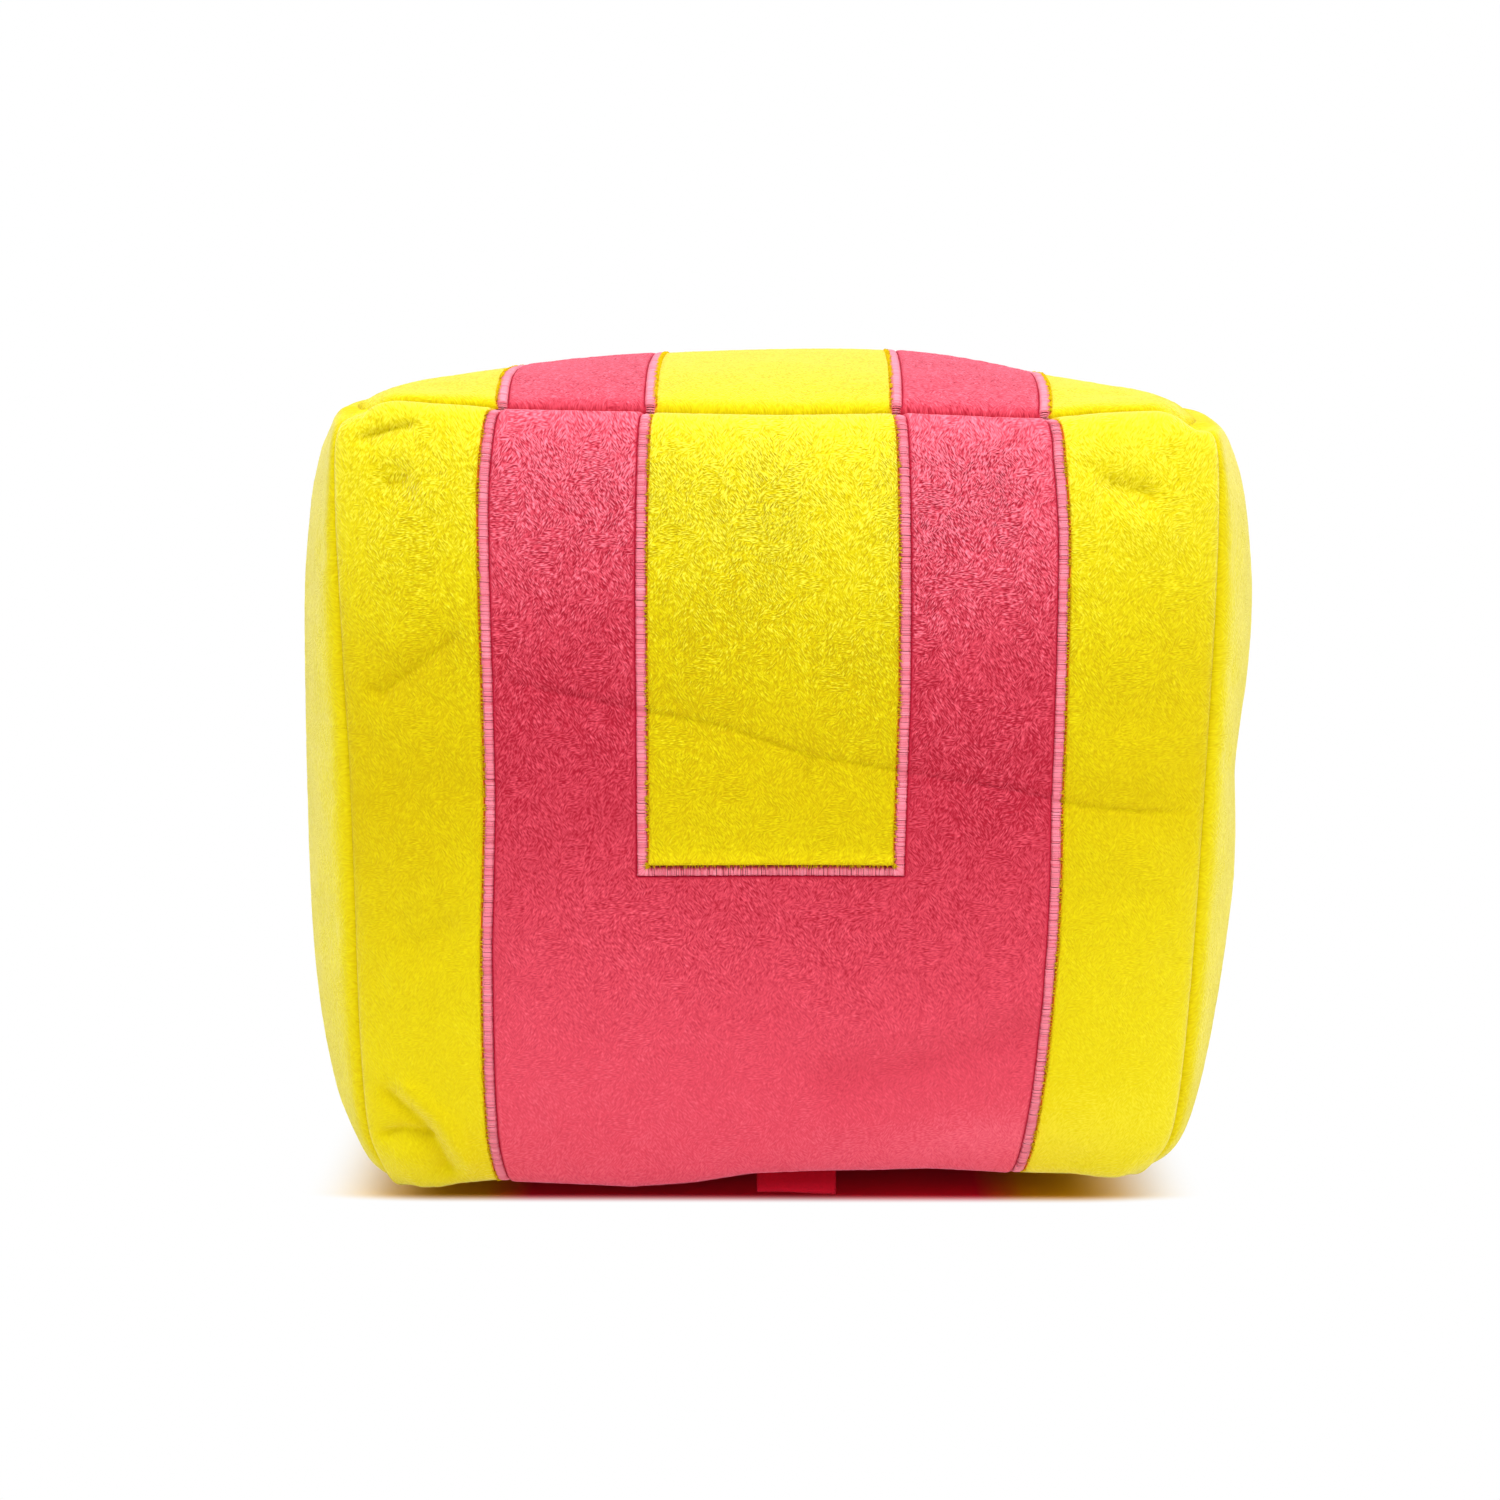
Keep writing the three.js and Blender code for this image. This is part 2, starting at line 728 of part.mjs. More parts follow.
// Ribbon tab: a ribbon folded in two, with its tail held in the mouth of the front foot seam
function tabMesh(name, material) {
  const halfTail = tab.tailThickness / 2;
  const halfLoop = tab.loopHeight / 2;
  const hollow = halfLoop - tab.ribbon;
  const bend = tab.length - halfLoop;
  const outline = new THREE.Shape();
  outline.moveTo(-tab.tailDepth, -halfTail);
  outline.lineTo(tab.neck, -halfTail);
  outline.lineTo(tab.shoulder, -halfLoop);
  outline.lineTo(bend, -halfLoop);
  outline.absarc(bend, 0, halfLoop, -Math.PI / 2, Math.PI / 2, false);
  outline.lineTo(tab.shoulder, halfLoop);
  outline.lineTo(tab.neck, halfTail);
  outline.lineTo(-tab.tailDepth, halfTail);
  outline.closePath();
  const gap = new THREE.Path();
  gap.moveTo(tab.shoulder, 0);
  gap.lineTo(tab.shoulder + tab.ribbon, -hollow);
  gap.lineTo(bend, -hollow);
  gap.absarc(bend, 0, hollow, -Math.PI / 2, Math.PI / 2, false);
  gap.lineTo(tab.shoulder + tab.ribbon, hollow);
  gap.closePath();
  outline.holes.push(gap);
  const bendSteps = 6;
  const geometry = new THREE.ExtrudeGeometry(outline, {
    depth: tab.width,
    bevelEnabled: false,
    curveSegments: bendSteps,
  });
  const mesh = new THREE.Mesh(geometry, material);
  const outward = seamInward(faces.front, opposite(axisZ)).negate();
  const across = seamAcross(faces.front, opposite(axisZ)).negate();
  const seam = seamPointAt((x) => [x, -1, -1], widthLines)(tab.centre / footHalfWidth);
  const turn = new THREE.Matrix4().makeBasis(outward, across, axisX.clone());
  mesh.quaternion.setFromRotationMatrix(turn);
  mesh.position.set(tab.centre - tab.width / 2, seam.y, seam.z);
  mesh.name = name;
  return mesh;
}

// The block

const plushYellow = () => cloth(colours.yellow, plushRoughness);
const plushPink = () => cloth(colours.pink, plushRoughness);
const satinPink = () => cloth(colours.satin, satinRoughness);

const block = new THREE.Group();
block.name = 'soft_fabric_block';
block.add(fillingMesh('stuffing', cloth(colours.filling, plushRoughness)));
for (const side of Object.keys(faces)) {
  block.add(panelMesh(`${side}_panel`, grids[side], plushYellow()));
}

for (const side of ['front', 'back']) {
  const grid = grids[side];
  block.add(appliqueMesh(`${side}_applique`, grid, inU, plushPink()));
  const left = uprightStations(grid, -stripeOuter, -1);
  const right = uprightStations(grid, stripeOuter, 1);
  block.add(borderMesh(`${side}_border_left`, grid, left, satinOutline(), satinPink()));
  block.add(borderMesh(`${side}_border_right`, grid, right, satinOutline(), satinPink()));
  block.add(borderMesh(`${side}_border_inner`, grid, rectangleStations(grid), satinOutline(), satinPink()));
}

for (const [side, sign] of [['left', -1], ['right', 1]]) {
  const stripe = (u) => inStripes(u) && u * sign > 0;
  block.add(appliqueMesh(`top_stripe_${side}`, grids.top, stripe, plushPink()));
  const outer = uprightStations(grids.top, sign * stripeOuter, sign);
  const inner = uprightStations(grids.top, sign * stripeInner, -sign);
  block.add(borderMesh(`top_border_${side}_outer`, grids.top, outer, satinOutline(), satinPink()));
  block.add(borderMesh(`top_border_${side}_inner`, grids.top, inner, satinOutline(), satinPink()));
}

block.add(appliqueMesh('bottom_band', grids.bottom, inBand, plushPink()));
for (const [side, sign] of [['left', -1], ['right', 1]]) {
  const edge = uprightStations(grids.bottom, sign * stripeOuter, sign);
  block.add(borderMesh(`bottom_border_${side}`, grids.bottom, edge, pressedOutline(), satinPink()));
}

block.add(tabMesh('label_tab', cloth(colours.ribbon, satinRoughness)));
block.add(...seamThreads(cloth(colours.thread, threadRoughness)));

export default block;
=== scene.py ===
# %% [markdown]
# # A stuffed plush block
#
# A baby's soft block is a cube of short-pile plush, sewn from six square panels and filled until
# each panel puffs out past its seams. This lesson dresses the block's plain frame: it works out
# the swollen cloth as a formula, lays the pile on it, and sews the stripes on with satin stitch.

import bpy
import numpy as np
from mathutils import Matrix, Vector


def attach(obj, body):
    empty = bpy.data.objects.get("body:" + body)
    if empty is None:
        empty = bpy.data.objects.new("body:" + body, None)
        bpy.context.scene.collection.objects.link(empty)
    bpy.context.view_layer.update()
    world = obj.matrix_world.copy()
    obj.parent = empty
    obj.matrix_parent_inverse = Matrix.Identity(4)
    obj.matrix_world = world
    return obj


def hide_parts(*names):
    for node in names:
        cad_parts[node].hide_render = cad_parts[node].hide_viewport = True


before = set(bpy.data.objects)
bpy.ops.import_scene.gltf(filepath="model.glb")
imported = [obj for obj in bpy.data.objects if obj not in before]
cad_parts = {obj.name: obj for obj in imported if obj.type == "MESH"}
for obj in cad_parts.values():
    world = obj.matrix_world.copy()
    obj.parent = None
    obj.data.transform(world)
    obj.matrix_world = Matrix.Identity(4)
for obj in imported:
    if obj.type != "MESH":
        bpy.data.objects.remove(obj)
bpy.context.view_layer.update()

print("pieces in the frame:", len(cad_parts))

# %% [markdown]
# Lengths are thought of in millimetres, as on a pattern sheet, and turned to metres only when a
# mesh is made. The seam box is the cube that joins the eight corners. The filling bows each seam
# out of it, and swells each panel out past its seams.

# %% Sizes of the sewn block
MM = 0.001

TOP_HALF, FOOT_HALF = 89.4, 83.4
TOP_HEIGHT, FOOT_HEIGHT = 177.2, 3.5
UPRIGHT_BOW, TOP_BOW, FOOT_BOW = 6.6, 3.0, 2.0
TOP_SAG, FOOT_LIFT = 1.5, 4.5
PUFF = {"front": 13.4, "back": 13.4, "left": 13.0, "right": 13.1, "top": 13.1, "bottom": 9.0}

STRIPE_OUTER, STRIPE_INNER = 62.0, 28.0
RECTANGLE_FOOT = 78.5
SATIN_HALF = 1.2
middle_half = (TOP_HALF + FOOT_HALF) / 2 + UPRIGHT_BOW
U_OUTER = STRIPE_OUTER / middle_half
U_INNER = STRIPE_INNER / middle_half
V_FOOT = 2 * (RECTANGLE_FOOT - FOOT_HEIGHT - FOOT_LIFT) / (
    TOP_HEIGHT - FOOT_HEIGHT - FOOT_LIFT - TOP_SAG) - 1
print("stripe edges at", round(U_INNER, 3), round(U_OUTER, 3), "foot at", round(V_FOOT, 3))

# %% [markdown]
# One formula gives every seam. A swell is a superellipse arch: one in the middle of a seam and
# zero at both corners. The higher its power, the squarer it is, which is how tight filling pushes
# a seam out right up to the corners.

# %% The net of seams
# Powers of the arches: the upright seams above and below their middle, and the level seams.
UPPER_POWER, LOWER_POWER, LEVEL_POWER = 3.8, 3.3, 1.7


def swell(share, power):
    """Arch over -1 to 1: (1 - |share| to the power) to the power 1/power."""
    return np.maximum(1 - np.abs(share) ** power, 0) ** (1 / power)


# Moves of the corners in mm. The shifts fade over the whole cube, and the drops close to a corner.
CORNER_SHIFTS = {
    (1, -1, 1): (0.0, 0.0, -1.5), (1, 1, 1): (0.0, 0.0, -3.0),
    (-1, -1, -1): (-1.0, 0.0, 0.0), (-1, 1, -1): (-1.0, 0.0, 0.0),
    (1, -1, -1): (-2.0, 0.0, 0.0), (1, 1, -1): (-2.0, 0.0, 0.0),
}
CORNER_DROPS = {
    (-1, -1, 1): (0.0, 0.0, -3.2), (1, -1, 1): (0.9, 0.0, -4.9),
    (-1, 1, 1): (0.0, 0.0, -2.5), (1, 1, 1): (0.0, 0.0, -2.5),
    (-1, -1, -1): (-0.3, 0.0, -1.0), (1, -1, -1): (-0.5, 0.0, 0.0),
}
DROP_REACH = (0.055, 0.42, 0.055)

# Every corner is also drawn in: by how many mm, and within how many along the seams. The scale is
# half a side, which turns shares into mm.
TOP_CORNER, FOOT_CORNER = (2.4, 6.5), (2.2, 8.0)
CORNER_SCALE = 90.0

# The floor lifts the foot's corners. Hands have left the front seams uneven besides: shares along
# a seam, and its moves there in mm, which fade with a power of the distance from the seam.
FOOT_CORNER_LIFT = 1.7
SEAM_FADE = 6
FRONT_FOOT_LIFT = [
    (-1, -0.9), (-0.96, -1.9), (-0.92, -2.8), (-0.87, -2.8), (-0.82, -2.2), (-0.72, -1.8),
    (-0.66, -2.25), (-0.52, -3.15), (-0.36, -4.15), (-0.24, -3.65), (-0.19, -3.3), (-0.05, -1.45),
    (0.12, -0.75), (0.27, -0.35), (0.41, 0.3), (0.55, 0.1), (0.63, -0.15), (0.79, 0.2),
    (0.83, 0.0), (0.87, -0.3), (0.91, -0.4), (0.98, 0.4), (1, 0.8),
]
FRONT_TOP_LIFT = [
    (-1, 3.3), (-0.95, 1.3), (-0.9, 0.8), (-0.81, 0.25), (-0.72, 0.0), (-0.63, -0.7),
    (-0.29, -0.7), (0, -0.9), (0.28, -0.4), (0.51, -1.4), (0.62, -1.7), (0.76, -0.6),
    (0.88, -0.2), (0.93, 0.6), (0.97, 1.5), (1, 3.2),
]
FRONT_LEFT_SHIFT = [
    (-1, 0), (-0.85, 0.2), (-0.69, 0.5), (-0.27, 1.4), (0.12, 1.6), (0.5, 0.9), (0.79, 0.1),
    (0.92, -0.4), (1, -1.6),
]


def along_table(share, table):
    """Value of a table of (share, value) pairs, in a straight line between its entries."""
    return np.interp(share, *np.array(table, float).T)


def corner_shift(x, y, z):
    """Each corner's moves times how near it is, plus the front seams' lifts times how near they are."""
    total = np.zeros(np.broadcast(x, y, z).shape + (3,))
    for (sx, sy, sz), shift in CORNER_SHIFTS.items():
        near = (1 + sx * x) * (1 + sy * y) * (1 + sz * z) / 8
        total += near[..., None] * np.array(shift)
    away = CORNER_SCALE * (3 - np.abs(x) - np.abs(y) - np.abs(z))
    pull, reach = (np.where(z > 0, top, foot) for top, foot in zip(TOP_CORNER, FOOT_CORNER))
    pull = pull * np.exp(-(away / reach) ** 2)
    settled = np.where(z > 0, 1, 0.3)
    total -= np.stack([pull * np.sign(x), pull * np.sign(y), pull * np.sign(z) * settled], -1)
    for corner, drop in CORNER_DROPS.items():
        away = sum(((1 - side * share) / reach) ** 2
                   for side, share, reach in zip(corner, (x, y, z), DROP_REACH))
        total += np.exp(-away)[..., None] * np.array(drop)
    front, left, foot, top = (((1 + share) / 2) ** SEAM_FADE for share in (-y, -x, -z, z))
    around = FOOT_CORNER_LIFT * np.maximum(np.abs(x), np.abs(y)) ** 2
    total[..., 0] += along_table(z, FRONT_LEFT_SHIFT) * front * left
    total[..., 2] += (around + along_table(x, FRONT_FOOT_LIFT) * front) * foot
    total[..., 2] += along_table(x, FRONT_TOP_LIFT) * front * top
    return total


def seam_net(x, y, z):
    """The bowed box: cube coordinates times the half sizes at that height, plus each seam's bow."""
    up = (z + 1) / 2
    upright = UPRIGHT_BOW * np.where(z > 0, swell(z, UPPER_POWER), swell(z, LOWER_POWER))
    level = FOOT_BOW + (TOP_BOW - FOOT_BOW) * up
    half = FOOT_HALF + (TOP_HALF - FOOT_HALF) * up + upright
    along_x, along_y = swell(x, LEVEL_POWER), swell(y, LEVEL_POWER)
    rise = FOOT_LIFT - (FOOT_LIFT + TOP_SAG) * up
    return np.stack([
        x * (half + level * along_y),
        y * (half + level * along_x),
        FOOT_HEIGHT + (TOP_HEIGHT - FOOT_HEIGHT) * up + rise * (along_x + along_y),
    ], axis=-1) + corner_shift(x, y, z)


widest = seam_net(*np.array([[1.0], [1.0], [0.0]]))[0]
print("a back upright seam at half height:", np.round(widest, 1).tolist(), "mm")

# %% [markdown]
# Each panel looks outward along one axis. Seen from outside, u runs to its right and v upward,
# both from -1 to 1 between the seams. Past 1 a line of cloth goes on as the seam allowance: it
# turns in between the two panels, so that nobody can look through the seam.

# %% The six panels' directions
AXES = {
    "front": ((0, -1, 0), (1, 0, 0), (0, 0, 1)),
    "right": ((1, 0, 0), (0, 1, 0), (0, 0, 1)),
    "back": ((0, 1, 0), (-1, 0, 0), (0, 0, 1)),
    "left": ((-1, 0, 0), (0, -1, 0), (0, 0, 1)),
    "top": ((0, 0, 1), (1, 0, 0), (0, 1, 0)),
    "bottom": ((0, 0, -1), (1, 0, 0), (0, -1, 0)),
}
AXES = {face: tuple(np.array(axis, float) for axis in axes) for face, axes in AXES.items()}
TURN_MM = 100.0
SLIT_HALF = 0.03
print("panels:", ", ".join(AXES))

# %% [markdown]
# No stuffed toy is even. Fingers and folding leave dents and creases, and this one has a long
# shallow crease across the front, a pinched dimple at the upper right, a dent in the lower left
# corner and a soft fold at the lower right. Each is a valley along a line of points, in
# millimetres from the middle of the front and above the floor.

# %% Creases and dents of the front
def ease(t):
    """Smooth step from 0 to 1."""
    t = np.clip(t, 0, 1)
    return t * t * (3 - 2 * t)


def line_distance(x, y, points):
    """Distance of every (x, y) to a polyline, and how far along it the nearest point lies."""
    best, along = np.full(x.shape, 1e9), np.zeros(x.shape)
    steps = np.hypot(*np.diff(np.array(points, float), axis=0).T)
    start = 0.0
    for (ax, ay), (bx, by), length in zip(points[:-1], points[1:], steps):
        t = ((x - ax) * (bx - ax) + (y - ay) * (by - ay)) / length ** 2
        t = np.clip(t, 0, 1)
        away = np.hypot(x - ax - t * (bx - ax), y - ay - t * (by - ay))
        nearer = away < best
        best = np.where(nearer, away, best)
        along = np.where(nearer, (start + t * length) / steps.sum(), along)
        start += length
    return best, along


# Each crease: its line, its core's depth and reach, and its soft valley's depth and reach.
CREASES = [
    ([(-72, 121.8), (-58, 118.6), (-30, 112.8), (-12, 109.3), (7, 102.8), (26, 99.6), (50, 95.5),
      (65, 91.6), (81, 89.6), (104, 88.5)], 0.82, 0.8, 0.9, 6.0),
    ([(7, 104), (6, 98), (4, 91)], 0.6, 1.0, 0.4, 4.0),
    ([(-30, 90), (-42, 81.7), (-56, 72)], 0.15, 1.0, 0.5, 4.0),
    ([(-66, 129.5), (-77.7, 120.9), (-84, 115.5), (-90, 117)], 0.8, 0.9, 1.0, 4.0),
    ([(66.5, 161), (70.5, 160), (74.5, 159), (80, 158), (83, 158)], 1.3, 1.5, 1.7, 4.0),
    ([(62, 165.5), (66, 163.3), (71, 160.5)], 0.4, 1.2, 0.8, 3.5),
    ([(-90, 15.5), (-86, 17.4), (-82, 18.3), (-76, 17.8), (-73.5, 17.2)], 1.3, 1.1, 1.0, 3.0),
    ([(-88, 29), (-81, 23.5), (-77.4, 20.1), (-74.5, 15.1), (-71, 6)], 0.8, 1.2, 1.5, 3.2),
    ([(-92, 168.5), (-85.5, 170.6), (-80, 172), (-75, 172.5)], 1.6, 0.9, 1.1, 4.0),
    ([(-88, 159), (-82, 160), (-76, 161.8)], 0.5, 2.0, 2.2, 6.0),
    ([(-82, 58), (-75, 62), (-67, 67.5)], 0.4, 1.2, 0.5, 4.0),
    ([(4, 28), (20, 33), (33.4, 36.5), (60, 45)], 0.1, 1.0, 1.8, 6.0),
]
# Each ridge: its line, height and reach. The first is the upper side of the lower right fold.
RIDGES = [
    ([(18, 38), (33.3, 42), (46.4, 45.5), (61.4, 51)], 1.4, 5.0),
    ([(70, 152), (78, 151), (88, 149)], 1.0, 5.0),
    ([(-84, 31), (-79, 25.8), (-74.1, 21.2), (-70.5, 15.2), (-66, 7)], 1.6, 2.4),
    ([(-88, 12), (-80, 11.5), (-75, 11)], 0.8, 3.0),
]


def tapered(x, z, line):
    """Distance to a line, and a share that eases from 0 at its ends to 1 over 5 mm or a sixth."""
    away, along = line_distance(x, z, line)
    length = np.hypot(*np.diff(np.array(line, float), axis=0).T).sum()
    end = max(length / 6, min(length / 2, 5))
    return away, ease(along * length / end) * ease((1 - along) * length / end)


def front_creases(x, z):
    """Sum in mm of a narrow and a broad Gaussian valley along each crease, and of the ridges."""
    depth = np.zeros(x.shape)
    for line, core, reach, valley, broad in CREASES:
        away, taper = tapered(x, z, line)
        depth -= taper * core * np.exp(-(away / reach) ** 2)
        depth -= taper * valley * np.exp(-(away / broad) ** 2)
    for line, height, reach in RIDGES:
        away, taper = tapered(x, z, line)
        depth += taper * height * np.exp(-(away / reach) ** 2)
    return depth


print("creases:", len(CREASES), "ridges beside them:", len(RIDGES))

# %% [markdown]
# The sides are uneven too. The left panel swells more toward its foot, and the right one has
# sunk there. These are broad bumps, written as the place, the reach and the height of each.

# %% Broad unevenness of each panel
BUMPS = {
    "left": [(0.4, -0.65, 0.6, 0.45, 1.8), (0.3, 0.35, 0.6, 0.4, -0.3), (-0.3, 0.5, 0.5, 0.4, 0.4)],
    "right": [(-0.4, 0.08, 0.6, 0.2, -2.2), (-0.4, -0.7, 0.6, 0.25, -0.6),
              (-0.4, 0.55, 0.6, 0.3, 0.8), (-0.4, -0.35, 0.6, 0.25, -0.3)],
    "front": [(-0.5, -0.3, 0.4, 0.5, 0.8), (0.5, 0.5, 0.35, 0.3, 0.5), (0.1, 0.1, 0.3, 0.3, -0.5)],
    "back": [(0.4, -0.2, 0.5, 0.4, 1.0), (-0.5, 0.4, 0.4, 0.3, -0.9)],
    "top": [(0.3, 0.1, 0.35, 0.6, 1.3), (-0.75, 0.1, 0.3, 0.6, -1.3), (0.75, 0.1, 0.25, 0.6, -2.0)],
    "bottom": [],
}


def unevenness(face, u, v):
    """Sum of bell-shaped bumps in mm over a panel."""
    total = np.zeros(u.shape)
    for u0, v0, reach_u, reach_v, height in BUMPS[face]:
        total += height * np.exp(-((u - u0) / reach_u) ** 2 - ((v - v0) / reach_v) ** 2)
    return total * np.clip((1 - np.abs(u)) * 6, 0, 1) * np.clip((1 - np.abs(v)) * 6, 0, 1)


print("bumps:", {face: len(bumps) for face, bumps in BUMPS.items()})

# %% [markdown]
# The pink pieces were cut and laid by hand as well, so their edges wander by a millimetre or two
# from a straight line. Each edge has a small list of heights and sideways shifts.

# %% Wandering cut lines
EDGE_DRIFT = {
    "front": [
        [(-1, -2.3), (-0.87, -2.1), (-0.6, -1.4), (-0.35, -0.8), (-0.15, 0.1), (0, 0.8),
         (0.3, 0.9), (0.8, 0.6), (1, 1)],
        [(-1, 0), (0, -0.2), (1, -0.2)],
        [(-1, -0.6), (-0.1, -0.7), (0.3, -0.4), (0.7, -1.0), (1, -1.4)],
        [(-1, -2.5), (-0.87, -2.1), (-0.65, -1.3), (-0.35, -0.7), (-0.2, -0.7), (0, -1.2),
         (0.4, -1.6), (0.72, -1.9), (0.9, -2.6), (1, -2.2)],
    ],
    "top": [[(-1, 1), (1, 0)], [(-1, -0.2), (1, 0)], [(-1, -1.4), (1, 0)], [(-1, -2.2), (1, 0)]],
    "bottom": [[(-1, 0), (1, -2.3)], [(-1, 0), (1, 0)], [(-1, 0), (1, -0.6)], [(-1, 0), (1, -2.5)]],
}
EDGE_SHARES = np.array([-1, -U_OUTER, -U_INNER, U_INNER, U_OUTER, 1])


def drifted(face, u, v):
    """u plus each edge's shift at that v, blended in a straight line to the next edge or seam."""
    moved = u.copy()
    for k, drift in enumerate(EDGE_DRIFT.get(face, [])):
        near = np.interp(u, EDGE_SHARES, np.eye(6)[k + 1])
        moved = moved + near * along_table(v, drift) / (TOP_HALF + 4)
    return moved


print("faces with wandering edges:", ", ".join(EDGE_DRIFT))

# %% [markdown]
# A panel's surface is the seam net, swollen outward by the product of two arches. The underside
# would swell too, but the floor presses it flat. The side panels swell less at the upper front
# corners, where the seams draw them in. Cloth that is laid on a panel, or its own pile, is a lift
# along the surface's normal.

# %% The swollen panel
PRESSED_PINK = 1.2
DRAWN_IN = {"left": (0.75, 0.3), "right": (0.6, 0.22)}
PUCKERS = {}


def lookup(table, u, v):
    """Smooth value of a table over -1 to 1: the Catmull-Rom blend of its nearest 4 by 4 entries."""
    last = table.shape[0] - 1
    x, y = (np.clip(u, -1, 1) + 1) / 2 * last, (np.clip(v, -1, 1) + 1) / 2 * last
    i, j = np.minimum(x.astype(int), last - 1), np.minimum(y.astype(int), last - 1)
    blend = lambda t: [(-t + 2 * t ** 2 - t ** 3) / 2, (2 - 5 * t ** 2 + 3 * t ** 3) / 2,
                       (t + 4 * t ** 2 - 3 * t ** 3) / 2, (t ** 3 - t ** 2) / 2]
    total = np.zeros(x.shape)
    for a, near_x in enumerate(blend(x - i)):
        for b, near_y in enumerate(blend(y - j)):
            total += near_x * near_y * table[np.clip(i + a - 1, 0, last), np.clip(j + b - 1, 0, last)]
    return total


def bare_surface(face, u, v, even=False, creased=True):
    """Net point plus out times puff times the arches across and up, then creases and the floor."""
    out, right, up = AXES[face]
    inside_u, inside_v = np.clip(u, -1, 1), np.clip(v, -1, 1)
    inside_u = np.clip(drifted(face, inside_u, inside_v), -1, 1)
    cube = out + inside_u[..., None] * right + inside_v[..., None] * up
    points = seam_net(cube[..., 0], cube[..., 1], cube[..., 2])
    if face == "top":
        arch = swell(inside_u, 1.9) * swell(inside_v, 1.9)
    elif face == "bottom":
        arch = (1 - inside_u ** 4) * (1 - inside_v ** 4)
    else:
        arch = swell(inside_u, 2.1) * np.where(inside_v > 0, swell(inside_v, 2.1), swell(inside_v, 2.4))
    height = PUFF[face] * arch
    if not even:
        height = height + unevenness(face, inside_u, inside_v)
        if face in DRAWN_IN:
            share, reach = DRAWN_IN[face]
            corner = np.hypot(1 - (inside_u if face == "left" else -inside_u), 1 - inside_v)
            height = height * (1 - share * np.exp(-(corner / reach) ** 2))
        if face == "front" and creased:
            fade = ease((1 - np.abs(inside_u)) * 14) * ease((1 - np.abs(inside_v)) * 14)
            height = height + fade * front_creases(points[..., 0], points[..., 2])
        if face in PUCKERS:
            height = height + lookup(PUCKERS[face], inside_u, inside_v)
    points = points + height[..., None] * out
    if face == "bottom":
        points[..., 2] = np.maximum(points[..., 2], PRESSED_PINK)
    if even:
        return points
    for past, axis in ((u, right), (v, up)):
        over = np.maximum(np.abs(past) - 1, 0) * TURN_MM
        side = np.sign(past)[..., None] * axis
        edge = (np.abs(past) >= 1)[..., None]
        points = points - (out + side) * (over * np.sqrt(0.5))[..., None]
        points = points + np.where(edge, (out - side) * SLIT_HALF, 0.0)
    return points


def unit(vectors):
    """Vectors scaled to length 1."""
    return vectors / (np.linalg.norm(vectors, axis=-1, keepdims=True) + 1e-12)


def surface_normal(face, u, v):
    """Unit normal from two short steps across and up the panel; creases are left out of it."""
    step = 4e-4
    u, v = np.clip(u, -0.9992, 0.9992), np.clip(v, -0.9992, 0.9992)
    near = lambda du, dv: bare_surface(face, u + du, v + dv, creased=False)
    return unit(np.cross(near(step, 0) - near(-step, 0), near(0, step) - near(0, -step)))


def on_panel(face, u, v, lift):
    """A point lifted from the panel along its normal, in mm."""
    lift = np.broadcast_to(lift, u.shape)
    return bare_surface(face, u, v) + lift[..., None] * surface_normal(face, u, v)


centre = np.zeros((1, 1))
print("panel middles:", {face: bare_surface(face, centre, centre).round(1)[0, 0].tolist() for face in AXES})

# %% [markdown]
# The pile of plush leans and clumps. Random grains are smeared along the direction in which the
# pile lies, which gives clumps as hair has them, in two sizes; their finish adds the streaks of
# single fibres. The direction wanders more where hands have ruffled the pile, as in the upper
# part here.

# %% Noise and pile
# The clumps' grain and the length that it is smeared over, in mm.
SMALL_CLUMP, LARGE_CLUMP = (0.8, 2.4), (1.7, 4.0)


def grain_table(seed, size=512):
    """A square table of random values with a mean of 0 and a spread of 1."""
    return np.random.default_rng(seed).standard_normal((size, size))


def value_noise(x, y, table):
    """Random values at whole coordinates, blended smoothly between them."""
    size = table.shape[0]
    i, j = np.floor(x).astype(int), np.floor(y).astype(int)
    p, q = x - i, y - j
    p, q = p * p * (3 - 2 * p), q * q * (3 - 2 * q)
    i, j, i1, j1 = i % size, j % size, (i + 1) % size, (j + 1) % size
    return ((1 - p) * (1 - q) * table[i, j] + p * (1 - q) * table[i1, j]
            + (1 - p) * q * table[i, j1] + p * q * table[i1, j1])


def smeared(x, y, angle, grain, reach, table):
    """Mean of the grains along a line of the pile's direction, in units of its own spread."""
    steps = np.linspace(-1, 1, 9) * reach / 2
    total = np.zeros(x.shape)
    for step in steps:
        total += value_noise((x + step * np.cos(angle)) / grain, (y + step * np.sin(angle)) / grain, table)
    return total / total.std()


def pile_field(x, y, ruffled, seed):
    """Two sizes of clump, smeared along a direction that wanders by the ruffled amount."""
    wander = value_noise(x / 11, y / 11, grain_table(seed + 1))
    wander += 0.6 * value_noise(x / 4, y / 4, grain_table(seed + 2))
    angle = -np.pi / 2 + wander * (0.25 + 0.9 * ruffled)
    small = smeared(x, y, angle, *SMALL_CLUMP, grain_table(seed + 3))
    large = smeared(x, y, angle, *LARGE_CLUMP, grain_table(seed + 4))
    return 0.8 * small + (0.2 + 0.35 * ruffled) * large


